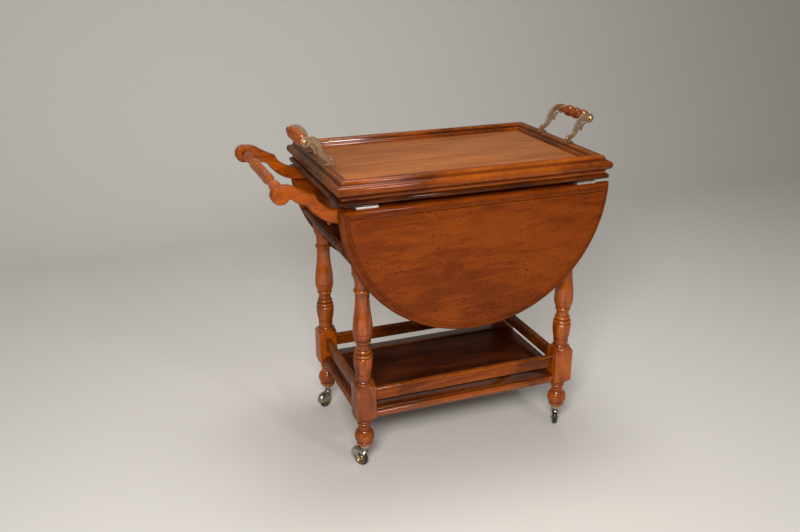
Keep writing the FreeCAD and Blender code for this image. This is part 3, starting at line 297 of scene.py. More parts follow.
def placed(part, turn=0.0, at=(0, 0, 0), tip=None):
    # turned about Z by the angle in degrees, after its own Z is laid along Y or X if tip says so
    points, faces, relief = part
    if tip == "y":
        points = points[:, [0, 2, 1]] * np.array([1, 1, -1])
    elif tip == "x":
        points = points[:, [2, 1, 0]] * np.array([1, 1, -1])
    c, s = math.cos(math.radians(turn)), math.sin(math.radians(turn))
    turned = points @ np.array([[c, s, 0], [-s, c, 0], [0, 0, 1]])
    return turned + np.asarray(at, float), faces, relief


def volumeOf(points, faces):
    # sum over the faces' fans of a . (b x c) / 6
    total = 0.0
    sizes = {}
    for face in faces:
        sizes.setdefault(len(face), []).append(face)
    for size, group in sizes.items():
        p = points[np.array(group)]
        for k in range(1, size - 1):
            total += np.einsum("ij,ij->", p[:, 0], np.cross(p[:, k], p[:, k + 1])) / 6
    return total


sharpAngle = 32


def makePiece(name, parts, body, finish, replaced):
    # joins closed parts into one mesh whose faces point outwards
    allPoints, allFaces, allRelief, offset = [], [], [], 0
    for points, faces, relief in parts:
        if volumeOf(points, faces) < 0:
            faces = [face[::-1] for face in faces]
        allPoints.append(points)
        allFaces += [[v + offset for v in face] for face in faces]
        allRelief.append(relief)
        offset += len(points)
    mesh = bpy.data.meshes.new(name)
    mesh.from_pydata((np.concatenate(allPoints) * mm).tolist(), [], allFaces)
    attribute = mesh.attributes.new("relief", "FLOAT", "POINT")
    attribute.data.foreach_set("value", np.concatenate(allRelief).astype(np.float32))
    mesh.shade_smooth()
    mesh.set_sharp_from_angle(angle=math.radians(sharpAngle))
    mesh.update()
    piece = bpy.data.objects.new(name, mesh)
    bpy.context.scene.collection.objects.link(piece)
    mesh.materials.append(finish["material"])
    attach(piece, body)
    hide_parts(*replaced)


# Materials: every pattern reads Object coordinates; "relief" darkens hollows with glaze and painted shade,
# and lightens edges with wear and painted highlight.

class Nodes:
    # one material's node tree; a value that is a socket is linked, and any other is set

    def __init__(self, name):
        self.material = bpy.data.materials.new(name)
        self.material.use_nodes = True
        self.tree = self.material.node_tree
        self.shader = self.tree.nodes["Principled BSDF"]

    def add(self, kind, settings=None, **inputs):
        node = self.tree.nodes.new(kind)
        for key, value in (settings or {}).items():
            setattr(node, key, value)
        for key, value in inputs.items():
            self.put(node, key.replace("_", " "), value)
        return node

    def put(self, node, key, value):
        # the key is an input's name, or i and its number
        socket = node.inputs[int(key[1:])] if key[0] == "i" and key[1:].isdigit() else node.inputs[key]
        if isinstance(value, bpy.types.NodeSocket):
            self.tree.links.new(value, socket)
        else:
            socket.default_value = value

    def math(self, operation, a, b):
        return self.add("ShaderNodeMath", {"operation": operation}, i0=a, i1=b).outputs[0]

    def plus(self, a, b):
        return self.math("ADD", a, b)

    def times(self, a, b):
        return self.math("MULTIPLY", a, b)

    def mix(self, share, a, b):
        return self.add("ShaderNodeMix", {"data_type": "RGBA"}, i0=share, i6=a, i7=b).outputs[2]

    def place(self):
        return self.add("ShaderNodeTexCoord").outputs["Object"]

    def relief(self):
        return self.add("ShaderNodeAttribute", {"attribute_name": "relief"}).outputs["Fac"]

    def noise(self, where, scale, detail, roughness, distortion=0.0, stretch=(1, 1, 1), shift=(0, 0, 0)):
        mapping = self.add("ShaderNodeMapping", Vector=where, Scale=stretch, Location=shift)
        return self.add("ShaderNodeTexNoise", Vector=mapping.outputs[0], Scale=scale, Detail=detail,
                        Roughness=roughness, Distortion=distortion).outputs[0]

    def band(self, value, limits):
        low, high = limits
        return self.add("ShaderNodeMapRange", {"clamp": True}, Value=value,
                        From_Min=low, From_Max=high).outputs[0]

    def bump(self, height, strength, distance):
        node = self.add("ShaderNodeBump", Height=height, Strength=strength, Distance=distance)
        self.put(self.shader, "Normal", node.outputs[0])


def colour(hexCode):
    # sRGB byte c to linear: ((c + 0.055) / 1.055) ^ 2.4
    c = np.array([int(hexCode[k:k + 2], 16) / 255 for k in (0, 2, 4)])
    return (*np.where(c <= 0.04045, c / 12.92, ((c + 0.055) / 1.055) ** 2.4), 1.0)


stain = {
    # glaze is glaze with painted shade for hollows; worn is wear with painted highlight for edges
    "light": "90430a", "middle": "6c2b04", "dark": "3a1402", "glaze": "110400", "worn": "c0701f",
    "sheen": (1.0, 0.5, 0.2, 1.0), "level": 0.02,
    "streak": 26.0, "long": 0.14, "cloud": 9.0, "speck": 0.35, "speckScale": 190.0, "gloss": 0.34,
    "coat": 0.2, "coatRoughness": 0.075, "coatIor": 2.0, "bump": 0.00012,
}
grain = {
    # noises: scale, detail, roughness, distortion (the first three take their scale from the stain)
    "cloud": (3, 0.6, 0.6), "streak": (5, 0.62, 0.9), "speck": (2, 0.5, 0.2),
    "fine": (420.0, 2, 0.6, 0.0), "pores": (900.0, 1, 0.5, 0.0), "groups": (14.0, 2, 0.5, 0.0),
    "patchy": (60.0, 3, 0.6),
    # how far the clouds and specks are drawn out, and where the noises are shifted to
    "cloudLong": 0.45, "speckLong": 0.6,
    "streakShift": (3.1, 1.7, 5.3), "poresShift": (7, 3, 1), "groupsShift": (9, 4, 2),
    # the values between which a noise fades in
    "middleBand": (0.36, 0.52), "lightBand": (0.47, 0.64), "fineBand": (0.45, 0.75),
    "poresBand": (0.62, 0.72), "speckBand": (0.60, 0.72), "groupsBand": (0.42, 0.62),
    "patchyBand": (0.3, 0.7),
    # shares of the layers in the colour, the roughness and the bump
    "fineShare": 0.35, "poresShare": 0.4, "hollowShare": (0.6, 0.35), "wornShare": 0.42,
    "roughFine": 0.6, "roughShare": 0.12,
    "bumpFine": 0.6, "bumpPores": -0.5, "bumpStreak": 0.5, "bumpStrength": 0.5,
}


def woodFinish(name, slotName, axis="x", **changes):
    # tone = (cloud noise + noise drawn out along the grain) / 2 picks dark, middle or light; fine noise,
    # pores and grouped specks darken it; then relief > 0 mixes in the glaze-and-shade colour (glaze with
    # painted shade in hollows) and relief < 0 the worn-and-highlight colour (wear with painted highlight on
    # edges)
    s = dict(stain, **changes)
    g = grain
    n = Nodes(name)
    where = n.place()

    def drawn(length):
        return tuple(length if k == axis else 1 for k in "xyz")

    cloud = n.noise(where, s["cloud"], *g["cloud"], drawn(g["cloudLong"]))
    streak = n.noise(where, s["streak"], *g["streak"], drawn(s["long"]), g["streakShift"])
    fine = n.noise(where, *g["fine"], drawn(s["long"]))
    pores = n.band(n.noise(where, *g["pores"], drawn(s["long"]), g["poresShift"]), g["poresBand"])
    tone = n.plus(n.times(cloud, 0.5), n.times(streak, 0.5))
    wood = n.mix(n.band(tone, g["middleBand"]), colour(s["dark"]), colour(s["middle"]))
    wood = n.mix(n.band(tone, g["lightBand"]), wood, colour(s["light"]))
    wood = n.mix(n.times(n.band(fine, g["fineBand"]), g["fineShare"]), wood, colour(s["dark"]))
    dots = n.band(n.noise(where, s["speckScale"], *g["speck"], drawn(g["speckLong"])), g["speckBand"])
    groups = n.band(n.noise(where, *g["groups"], shift=g["groupsShift"]), g["groupsBand"])
    wood = n.mix(n.times(n.times(dots, groups), s["speck"]), wood, colour(s["glaze"]))
    wood = n.mix(n.times(pores, g["poresShare"]), wood, colour(s["glaze"]))
    relief = n.relief()
    patchy = n.band(n.noise(where, *g["patchy"]), g["patchyBand"])
    least, more = g["hollowShare"]
    # hollows darken with glaze and painted shade, edges lighten with wear and painted highlight
    hollow = n.times(n.math("MAXIMUM", relief, 0.0), n.plus(n.times(patchy, more), least))
    worn = n.times(n.math("MAXIMUM", n.times(relief, -1.0), 0.0), n.times(patchy, g["wornShare"]))
    wood = n.mix(hollow, wood, colour(s["glaze"]))
    wood = n.mix(worn, wood, colour(s["worn"]))
    rough = n.plus(s["gloss"], n.times(n.plus(cloud, n.times(fine, g["roughFine"])), g["roughShare"]))
    for key, value in (("Base Color", wood), ("Roughness", rough), ("Specular IOR Level", s["level"]),
                       ("Specular Tint", s["sheen"]), ("Coat Weight", s["coat"]),
                       ("Coat Roughness", s["coatRoughness"]), ("Coat IOR", s["coatIor"])):
        n.put(n.shader, key, value)
    height = n.plus(n.times(fine, g["bumpFine"]),
                    n.plus(n.times(pores, g["bumpPores"]), n.times(streak, g["bumpStreak"])))
    n.bump(height, g["bumpStrength"], s["bump"])
    return {"material": n.material, "slot": slotName}


patina = {
    # noises: scale, detail, roughness, distortion
    "cloud": (70.0, 4, 0.62, 0.4), "fine": (700.0, 2, 0.6), "spots": (280.0, 3, 0.6), "spotsShift": (2, 5, 8),
    "brightBand": (0.36, 0.62), "spotsBand": (0.56, 0.7),
    "spotsShare": 0.5, "hollowShare": 0.8, "roughShare": 0.14,
    "bumpCloud": 2.0, "bumpStrength": 0.4, "bump": 0.0001,
}


def metalFinish(name, slotName, bright, dull, stained, roughness):
    # bright metal where a cloudy noise is high, dull where it is low, stained in spots and hollows
    p = patina
    n = Nodes(name)
    where = n.place()
    cloud = n.noise(where, *p["cloud"])
    fine = n.noise(where, *p["fine"])
    metal = n.mix(n.band(cloud, p["brightBand"]), colour(dull), colour(bright))
    spots = n.band(n.noise(where, *p["spots"], shift=p["spotsShift"]), p["spotsBand"])
    metal = n.mix(n.times(spots, p["spotsShare"]), metal, colour(stained))
    hollow = n.math("MAXIMUM", n.relief(), 0.0)
    metal = n.mix(n.times(hollow, p["hollowShare"]), metal, colour(stained))
    rough = n.plus(roughness, n.times(n.plus(n.math("SUBTRACT", 1.0, cloud), spots), p["roughShare"]))
    for key, value in (("Base Color", metal), ("Metallic", 1.0), ("Roughness", rough)):
        n.put(n.shader, key, value)
    n.bump(n.plus(fine, n.times(cloud, p["bumpCloud"])), p["bumpStrength"], p["bump"])
    return {"material": n.material, "slot": slotName}


rubber = {
    "cloud": (90.0, 4, 0.6), "fine": (900.0, 2, 0.6), "dustAndSheenBand": (0.5, 0.75), "dustAndSheenShare": 0.5,
    "rough": (0.25, 0.3), "bumpStrength": 0.3, "bump": 0.0001,
}


def rubberFinish(name, slotName, black, dustAndSheen):
    # black rubber with grey dust and painted sheen where a cloudy noise is high
    n = Nodes(name)
    where = n.place()
    cloud = n.noise(where, *rubber["cloud"])
    dustyAndSheen = n.times(n.band(cloud, rubber["dustAndSheenBand"]), rubber["dustAndSheenShare"])
    least, more = rubber["rough"]
    n.put(n.shader, "Base Color", n.mix(dustyAndSheen, colour(black), colour(dustAndSheen)))
    n.put(n.shader, "Roughness", n.plus(least, n.times(cloud, more)))
    n.bump(n.noise(where, *rubber["fine"]), rubber["bumpStrength"], rubber["bump"])
    return {"material": n.material, "slot": slotName}


woodLong = woodFinish("stainedWoodLong", "stained_wood", "x")
woodCross = woodFinish("stainedWoodCross", "stained_wood", "y")
# painted shade: a darker copy of the stain for the case's top and bottom boards, which sit under overhangs
paintedShadeBoardWood = woodFinish("paintedShadeBoardWood", "stained_wood", "x", light="7c3707", middle="582303", dark="2c0f02")
edgeWood = woodFinish("edgeWood", "stained_wood", "x", coat=0.42, coatRoughness=0.13)
# painted shade: a darker copy of the cross-grain stain for the tray's end frames
paintedShadeEndWood = woodFinish("paintedShadeEndWood", "stained_wood", "y", light="743610", middle="522408", dark="2a1004")
woodUpright = woodFinish("stainedWoodUpright", "stained_wood", "z", speck=0.5, coat=0.36,
                         light="b2590c", middle="8f3f06", dark="521d03")
gripWood = woodFinish("gripWood", "stained_wood", "y", speck=0.5, coat=0.42,
                      light="b05810", middle="883d08", dark="4a1b03")
armWood = woodFinish("armWood", "stained_wood", "x", speck=0.8, cloud=16.0, streak=40.0, long=0.4,
                     light="a04c0a", middle="8a3d06", dark="622604")
# painted shade: a darker copy of the stain for the gallery rails away from the front
paintedShadeWood = woodFinish("paintedShadeWood", "stained_wood", "x", light="7e3806", middle="5f2603", dark="381201")
leafFace = woodFinish("leafVeneer", "leaf_veneer", "x", light="813a08", middle="702e05", dark="5a2203",
                      coat=0.1, long=0.2, streak=46.0, cloud=6.0, speck=0.85, speckScale=280.0, gloss=0.42)
# painted shade: the shelf panel's colours are darker than its wood, for the shade under the leaves and case
paintedShadeShelfFace = woodFinish("shelfVeneerPaintedShade", "shelf_veneer", "x", light="5a260a", middle="461a06", dark="2c1004",
                       gloss=0.42, coat=0.02)
trayFace = woodFinish("trayVeneer", "tray_veneer", "x", light="a86738", middle="96582e", dark="7c4522",
                      streak=60.0, long=0.06, cloud=4.0, gloss=0.5, coat=0.0, level=0.2, speck=0.2,
                      sheen=(1.0, 0.7, 0.45, 1.0))
plainWood = woodFinish("plainDrawerWood", "plain_wood", "x", light="c9a577", middle="b58f60", dark="97704a",
                       glaze="6a4a30", worn="d8bd93", gloss=0.55, coat=0.0, speck=0.1)
hingeSteel = metalFinish("hingeSteel", "hinge_steel", "e4dcd6", "cdc4bc", "8d8278", 0.36)
polishedBrass = metalFinish("polishedBrass", "polished_brass", "d8b878", "a9875a", "4f3a1c", 0.2)
casterBrass = metalFinish("casterBrass", "polished_brass", "cfc8b8", "969081", "4a463f", 0.22)
antiqueBrass = metalFinish("antiqueBrass", "antique_brass", "cfae8e", "a98a6c", "5c4636", 0.36)
blackRubber = rubberFinish("blackRubber", "black_rubber", "15181c", "454a52")
print("stage: materials made")


# Turned legs

leg = {
    "stock": 48.5, "base": 61.0,
    "corners": {"front_left": (-270, -161), "front_right": (270, -161),
                "back_left": (-270, 161), "back_right": (270, 161)},
    # (radius, height above the leg's end); over the block the radius is more than the stock holds
    "profile": [
        (15.4, 3.6), (18.4, 5.4, 1), (19.8, 9.2), (19.6, 12), (17.8, 13.4), (17.8, 14.6), (20.4, 15.8),
        (24.1, 25, 1), (23.7, 32), (22.6, 37.2, 1), (20.6, 41.8), (19.6, 42.3), (16.6, 45.6, 1), (14.6, 51.5),
        (14.4, 56), (14.4, 61.4), (17.2, 64.4, 1), (14.7, 67.2), (14.7, 68.7), (17, 71.6, 1), (15, 74.4),
        (22.5, 79.6, 1), (36, 85.2), (36, 170), (27.5, 173.5, 1), (24, 176.5), (24, 179), (19.4, 182.5, 1),
        (18.3, 189), (18.9, 191.2), (18.5, 192.4), (19.1, 199.5), (18.6, 201), (22.2, 221, 1), (23.2, 238),
        (22.8, 243, 1), (20.2, 246.2), (22.4, 250.3, 1), (20.2, 254), (17.5, 257), (19.6, 260.8, 1),
        (16.3, 265.5), (15.7, 272.5, 1), (16.3, 280), (19.4, 284.6, 1), (18.2, 289.4), (22.6, 300, 1),
        (23.7, 307.4), (23.2, 308.5), (23.9, 309.8), (24, 315), (23.1, 334, 1), (20.5, 355), (18.0, 377, 1),
        (16.9, 397), (17.1, 409.5), (20.5, 415.5, 1), (17.2, 420.5), (17.6, 422), (17.2, 423.6),
        (18.6, 442, 1), (23.6, 455), (24, 457.5), (24, 494),
    ],
}
legPart = turnedPart(outline(leg["profile"]), 72, leg["stock"] / 2)
for corner, (x, y) in leg["corners"].items():
    makePiece("turnedLeg_" + corner, [placed(legPart, at=(x, y, leg["base"]))], "frame", woodUpright,
              ["leg_" + corner])
print("stage: legs turned")


# Moulded boards: edge lines (inset, height) from the lower face round the nose to the upper face

boards = {
    "bottom": {"node": "case_bottom_board", "halfX": 311, "halfY": 203,
               "edge": [(20, 555), (9, 555), (6.5, 556.4), (1.4, 559.6, 1), (0, 565.5), (1.6, 572, 1),
                        (6.6, 575), (8.6, 575), (8.6, 577.4), (9.4, 578), (20, 578)]},
    "top": {"node": "top_board", "halfX": 337, "halfY": 215,
            "edge": [(20, 695.2), (6, 695.2), (1.6, 697.4, 1), (0, 701.8), (1.5, 706.2, 1), (6, 708.2),
                     (20, 708.2)]},
}
for name, board in boards.items():
    makePiece(name + "Board", [mouldedBoard(outline(board["edge"]), board["halfX"], board["halfY"])],
              "frame", paintedShadeBoardWood, [board["node"]])
print("stage: case boards moulded")


# Lower shelf: (inset, height) sections of its edge boards and gallery rails

shelf = {
    "edge": [(41.2, 141), (9, 141), (1.2, 144.4, 1), (0, 150.5), (1.6, 156.5, 1), (5.6, 159.4), (7.2, 159.6),
             (8.4, 160.2), (9.2, 163), (41.2, 163)],
    "rail": [(14.5, 185), (0, 185), (0, 207.6), (0.7, 208.6), (0, 209.6), (0.2, 210.4), (2.2, 215.6, 1),
             (7.25, 217), (12.3, 215.6, 1), (14.3, 210.4), (14.5, 209.6), (13.8, 208.6), (14.5, 207.6)],
    "dark": (159.5, 0.9),  # painted shade: the edge boards' top is darkened over this height, by this tone
    # side: turn, reach of the edge board, half length, reach of the rail
    "sides": {"back": (0, 178, 245.75, 168.25), "front": (180, 178, 245.75, 168.25),
              "left": (90, 287, 136.75, 277.25), "right": (-90, 287, 136.75, 277.25)},
    "panel": ((-245.75, -136.75, 147), (245.75, 136.75, 161), 0.3),
}
edgeLine, railLine = outline(shelf["edge"], True), outline(shelf["rail"], True)
for side, (turn, edgeReach, along, railReach) in shelf["sides"].items():
    edgeBoard = sweptSide(edgeLine, edgeReach, along, False, shelf["dark"])
    makePiece("shelfEdge_" + side, [placed(edgeBoard, turn)],
              "frame", edgeWood if side in ("front", "back") else woodCross, ["shelf_edge_" + side])
    # the front rail takes the plain stain, the others the copy with painted shade
    makePiece("galleryRail_" + side, [placed(sweptSide(railLine, railReach, along, False), turn)],
              "frame", woodLong if side == "front" else paintedShadeWood, ["gallery_rail_" + side])
makePiece("shelfPanel", [boxPart(*shelf["panel"])], "frame", paintedShadeShelfFace, ["shelf_panel"])
print("stage: shelf built")


# Drop leaves: half an oval, with a moulded border round a veneered field

leaf = {
    "halfLength": 337.0, "depth": 328.0, "thickness": 18.0, "top": 688.0, "inner": 204.6,
    # (inset from the edge, height over the inner face)
    "edge": [(14, 0), (2.5, 0), (0.5, 0.8, 1), (0, 3), (0, 8), (2.9, 14.6, 1), (9.4, 17.8), (13.6, 17.6, 1),
             (17.2, 16.4), (18.0, 15.9), (18.8, 15.9), (19.2, 17.6), (20.2, 18), (26, 18)],
    # insets that the border lies between, its tone (below zero is lighter: a painted highlight along the
    # rounded border), and the lightest tone
    "border": (0.5, 9.0, -0.4), "lightest": -0.4,
    # points of the half ellipse before and after it is divided evenly, and of the straight edge
    "fine": 1600, "round": 300, "straight": 42,
}


def leafRing(d):
    # the half ellipse (a cos f, -b sin f) moved in by d along its normal, cut where it meets the
    # straight edge moved in by d, then closed along that edge
    a, b = leaf["halfLength"], leaf["depth"]
    f = np.linspace(math.pi, 2 * math.pi, leaf["fine"])
    px, pz = a * np.cos(f), b * np.sin(f)
    nx, nz = -b * np.cos(f), -a * np.sin(f)
    size = np.hypot(nx, nz)
    px, pz = px + d * nx / size, pz + d * nz / size
    inside = pz < -d
    px, pz = px[inside], pz[inside]
    px = np.concatenate([[px[0]], px, [px[-1]]])
    pz = np.concatenate([[-d], pz, [-d]])
    s = np.concatenate([[0], np.cumsum(np.hypot(np.diff(px), np.diff(pz)))])
    u = np.linspace(0, s[-1], leaf["round"])
    t = np.linspace(0, 1, leaf["straight"])[1:-1]
    return np.stack([np.concatenate([np.interp(u, s, px), px[-1] + (px[0] - px[-1]) * t]),
                     np.concatenate([np.interp(u, s, pz), np.full(len(t), -d)])], 1)


def leafPart():
    line = outline(leaf["edge"])
    points = []
    for d, y in line:
        ring = leafRing(d)
        points.append(np.concatenate([ring[:, :1], np.full((len(ring), 1), -leaf["inner"] - y),
                                      ring[:, 1:] + leaf["top"]], 1))
    begin, stop, tone = leaf["border"]
    onBorder = (line[:, 0] > begin) & (line[:, 0] < stop) & (line[:, 1] > leaf["thickness"] / 2)
    # painted highlight: the border's tone lightens the rounded border
    relief = reliefOf(line, "leaf") + np.where(onBorder, tone, 0)
    return gridPart(np.array(points), np.clip(relief, leaf["lightest"], 1)[:, None])


leafShape = leafPart()
for side, turn in (("front", 0), ("back", 180)):
    makePiece("dropLeaf_" + side, [placed(leafShape, turn)], side + "_leaf", leafFace, ["leaf_" + side])
print("stage: leaves cut")


# Push handle

pushHandle = {
    # (x, z) round the arm, in order
    "arm": [(-190, 657), (-300.2, 657), (-353.8, 662.3, 1), (-380.4, 678.9), (-390.9, 688.7), (-400.2, 702.3),
            (-405.4, 706.1), (-418.7, 709.9, 1), (-432.1, 719.7), (-438.3, 722.9), (-478, 732.5, 1),
            (-450.7, 752.5), (-433.2, 750.2, 1), (-416.4, 740.4), (-390.9, 726.5), (-379.9, 722.7),
            (-376.4, 714.0, 1), (-370.6, 706.8), (-357.2, 696.7, 1), (-333, 687.4), (-300.2, 684),
            (-190, 684)],
    # (inset, depth) from a face to the middle of the edge
    "edge": [(5, 0), (4.2, 0), (3.9, 0.6), (3.4, 0.5), (1.0, 1.4, 1), (0, 4.4), (0, 8)],
    # (radius, distance from the middle)
    "bar": [(12.6, 0), (12.3, 6, 1), (10.8, 11.6), (10, 13.2), (11, 15), (12.7, 25, 1), (11.2, 34.6),
            (10.2, 36.4), (11.2, 38.4), (13.3, 64, 1), (9.4, 92), (8, 95.5), (7, 98, 1), (7, 106, 1),
            (8.4, 109), (9.6, 111), (13, 137, 1), (9.4, 162), (8.2, 164.5), (8, 168), (9.8, 172.5, 1),
            (9.8, 180)],
    "barAt": (-454, 0, 735),
}


def mirrored(corners):
    # a profile from its middle outwards, with the same on the other side of the middle
    return [(r, -h) + tuple(rest) for r, h, *rest in corners[::-1]] + [tuple(c) for c in corners[1:]]


arm = outline(pushHandle["arm"], True, step=2.0, soft=3.0)
for side in ("front", "back"):
    low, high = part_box("push_arm_" + side)
    thickness = (high.y - low.y) / mm
    makePiece("pushArm_" + side, [placed(cutPart(arm, thickness, pushHandle["edge"]), at=(0, low.y / mm, 0))],
              "frame", armWood, ["push_arm_" + side])
bar = turnedPart(outline(mirrored(pushHandle["bar"])), 48)
makePiece("pushBar", [placed(bar, at=pushHandle["barAt"], tip="y")], "frame", gripWood, ["push_bar"])
print("stage: push handle made")


# Drawer

drawer = {
    "edge": 1.2,
    # the knob: (radius, distance out from the drawer front)
    "knob": [(8, 0), (8, 1.2), (5, 2.4, 1), (4.4, 6), (5.2, 9, 1), (8.6, 12.2), (9, 14.4), (7.4, 18.2, 1),
             (3, 19.9), (0.2, 20)],
}
low, high = (np.array(v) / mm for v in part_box("drawer_front"))
makePiece("drawerFront", [boxPart(low, high, drawer["edge"])], "drawer", woodCross, ["drawer_front"])
lowPull, highPull = (np.array(v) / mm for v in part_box("drawer_pull"))
knob = placed(turnedPart(outline(drawer["knob"]), 40), tip="x")
makePiece("drawerKnob", [placed(knob, 180, (low[0], 0, (lowPull[2] + highPull[2]) / 2))],
          "drawer", woodUpright, ["drawer_pull"])
print("stage: drawer front made")


# Tray

tray = {
    # (inset, height) section of the frame
    "section": [(12, 708.5), (12, 712), (10.6, 716.4, 1), (7, 718.6), (2.2, 722, 1), (0, 729.4),
                (2.3, 736.4, 1), (8, 739.4), (10.5, 739.8), (12.3, 741), (13.6, 743.4), (15, 748.4, 1),
                (19.5, 751), (27, 751), (31.2, 749.6, 1), (33, 745.6), (34.4, 741.6), (35.4, 741.2),
                (38.2, 740, 1), (40.2, 736.6), (42, 735.6), (42, 708.5)],
    # side: turn, reach, half length
    "sides": {"back": (0, 221, 341), "front": (180, 221, 341),
              "left": (90, 341, 221), "right": (-90, 341, 221)},
    "panel": ((-299, -179, 724.5), (299, 179, 732.5), 0.2),
}
frameLine = outline(tray["section"], True)
for side, (turn, reach, along) in tray["sides"].items():
    makePiece("trayFrame_" + side, [placed(sweptSide(frameLine, reach, along, True), turn)], "tray",
              woodLong if side in ("front", "back") else paintedShadeEndWood, ["tray_frame_" + side])
makePiece("trayPanel", [boxPart(*tray["panel"])], "tray", trayFace, ["tray_panel"])
print("stage: tray framed")


# Tray handles

trayHandle = {
    # (outward of the grip's axis, above the rim): the arm, and the small curl under its arch
    "arm": [(-69, 0), (-47, 0), (-43, 3), (-53.6, 6), (-50, 10.5), (-43, 14), (-36, 22), (-31, 30),
            (-27.2, 36, 1), (-28, 43), (-23, 51.4, 1), (-18, 55), (-13.5, 54.5), (-10, 49.5, 1), (-2.6, 47),
            (8.6, 58, 1), (-1, 70.6), (-10.6, 71.4), (-17.5, 71), (-27, 67, 1), (-35, 59), (-41, 50, 1),
            (-44, 39), (-49, 28), (-54.5, 22, 1), (-62, 20), (-68.6, 13, 1), (-70, 6)],
    "curl": [(-13, 50), (-18.5, 49.4), (-24.5, 43.5, 1), (-27, 35), (-23, 28), (-20.6, 35), (-18.4, 41.5, 1),
             (-14, 45.6)],
    "reach": 368.0, "rim": 751.0,
    # (inset, depth) from a face to the middle of the edge
    "armEdge": [(1.5, 0), (0.9, 0), (0.3, 0.3, 1), (0, 0.9), (0, 2)],
    "curlEdge": [(0.8, 0), (0.6, 0), (0.2, 0.2, 1), (0, 0.6), (0, 2)],
    # (radius, distance from the middle)
    "grip": [(14.5, 0), (13.6, 6, 1), (10.6, 15.2), (10.4, 16.5), (10.8, 18), (14.5, 33, 1), (10.2, 47),
             (8.6, 49.4), (8, 51), (9.6, 54.5, 1), (8.2, 58), (9.4, 60.5), (9.2, 64)],
    # (radius, height), and (inward of the grip's axis, out from the middle, above the floor)
    "nut": [(6, 0), (6, 1.4), (5.2, 4.4, 1), (2.4, 5.9), (0.2, 6)], "nutAt": (0, 69, 810),
    "screw": [(3.2, 0), (3.0, 0.9, 1), (1.6, 1.55), (0.1, 1.6)], "screwAt": (61.6, 69, 763.9),
}
grip = turnedPart(outline(mirrored(trayHandle["grip"])), 40)
for end, way in (("left", -1), ("right", 1)):
    for side in ("front", "back"):
        low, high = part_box("tray_arm_%s_%s" % (end, side))
        strips = []
        for name in ("arm", "curl"):
            shape = outline(trayHandle[name], True, step=0.9, soft=1.6)
            shape = (shape + np.array([trayHandle["reach"], trayHandle["rim"]])) * np.array([way, 1])
            cast = cutPart(shape, (high.y - low.y) / mm, trayHandle[name + "Edge"], 0.6)
            strips.append(placed(cast, at=(0, low.y / mm, 0)))
        makePiece("trayArm_%s_%s" % (end, side), strips, "tray", antiqueBrass,
                  ["tray_arm_%s_%s" % (end, side)])
    low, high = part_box("tray_grip_" + end)
    centre = ((low.x + high.x) / 2 / mm, 0, (low.z + high.z) / 2 / mm)
    makePiece("trayGrip_" + end, [placed(grip, at=centre, tip="y")], "tray", gripWood, ["tray_grip_" + end])
nut = placed(turnedPart(outline(trayHandle["nut"], step=0.6, soft=0.2), 32), tip="y")
screw = placed(turnedPart(outline(trayHandle["screw"], step=0.4, soft=0.1), 24), tip="y")
fasteners = []
for end in (-1, 1):
    for side in (-1, 1):
        for fastener, (inward, out, up) in ((nut, trayHandle["nutAt"]), (screw, trayHandle["screwAt"])):
            place = (end * (trayHandle["reach"] - inward), side * out, up)
            fasteners.append(placed(fastener, 0 if side > 0 else 180, place))
makePiece("trayHandleFasteners", fasteners, "tray", polishedBrass, ["tray_handle_fasteners"])
print("stage: tray handles made")


# Casters

caster = {
    "turns": {"front_left": 122, "front_right": 65, "back_left": 217, "back_right": 40},
    "trail": 12.0, "axle": 20.0,
    "line": {"step": 0.8, "soft": 0.3},
    # (radius, height above the floor): the collar on the leg's end, and the hood's neck with its stem
    "collar": [(5, 51.6), (8, 51.6), (8.8, 54, 1), (11, 56.6), (12.8, 60, 1), (12.6, 63), (12.2, 64.7),
               (5, 64.7)],
    "neck": [(0.2, 43.6), (9.6, 43.6), (7.2, 46.6, 1), (6.6, 49), (8, 51.2), (4, 51.2), (4, 62), (0.2, 62)],
    # (radius, distance along the axle from the wheel's middle)
    "wheel": [(2.6, -5), (5.5, -5), (6.4, -4.6), (9.6, -2.3, 1), (12.4, -4.4), (13.4, -5.2), (15, -5.2),
              (15, 5.2), (13.4, 5.2), (12.4, 4.4), (9.6, 2.3, 1), (6.4, 4.6), (5.5, 5), (2.6, 5)],
    "tyre": [(15, -6), (16.8, -6), (20, 0, 1), (16.8, 6), (15, 6)],
    "pin": [(0.2, -10.6), (2.6, -10.2), (4.4, -8.8), (4.4, -7.2), (2.4, -7.2), (2.4, 7.2), (4.4, 7.2),
            (4.4, 8.8), (2.6, 10.2), (0.2, 10.6)],
    # the hood's channel: degrees round the axle from the rear, radii about the axle, widths, and its
    # swell and deeper cheeks with the degree they are at and the degrees they fade over
    "hood": {"from": 8, "to": 130, "radius": 27, "halfWidth": 9.4, "crown": 8, "wall": 1.6, "cheek": 8.6,
             "swell": 6, "deeper": 5, "fullAt": 42, "swellOver": 34, "deeperOver": 26, "tipOver": 9},
    # the two straps from the axle up to the cheeks: degrees, radius at the axle, length and half width at
    # the hood, thickness, places along the axle, and (inset, depth) of the edge
    "strap": {"angle": 52, "hub": 4.6, "length": 20.5, "halfWidth": 8.5, "thickness": 1.6, "at": (7.6, -9.2),
              "edge": [(0.6, 0), (0.2, 0.1, 1), (0, 0.5), (0, 0.8)]},
}


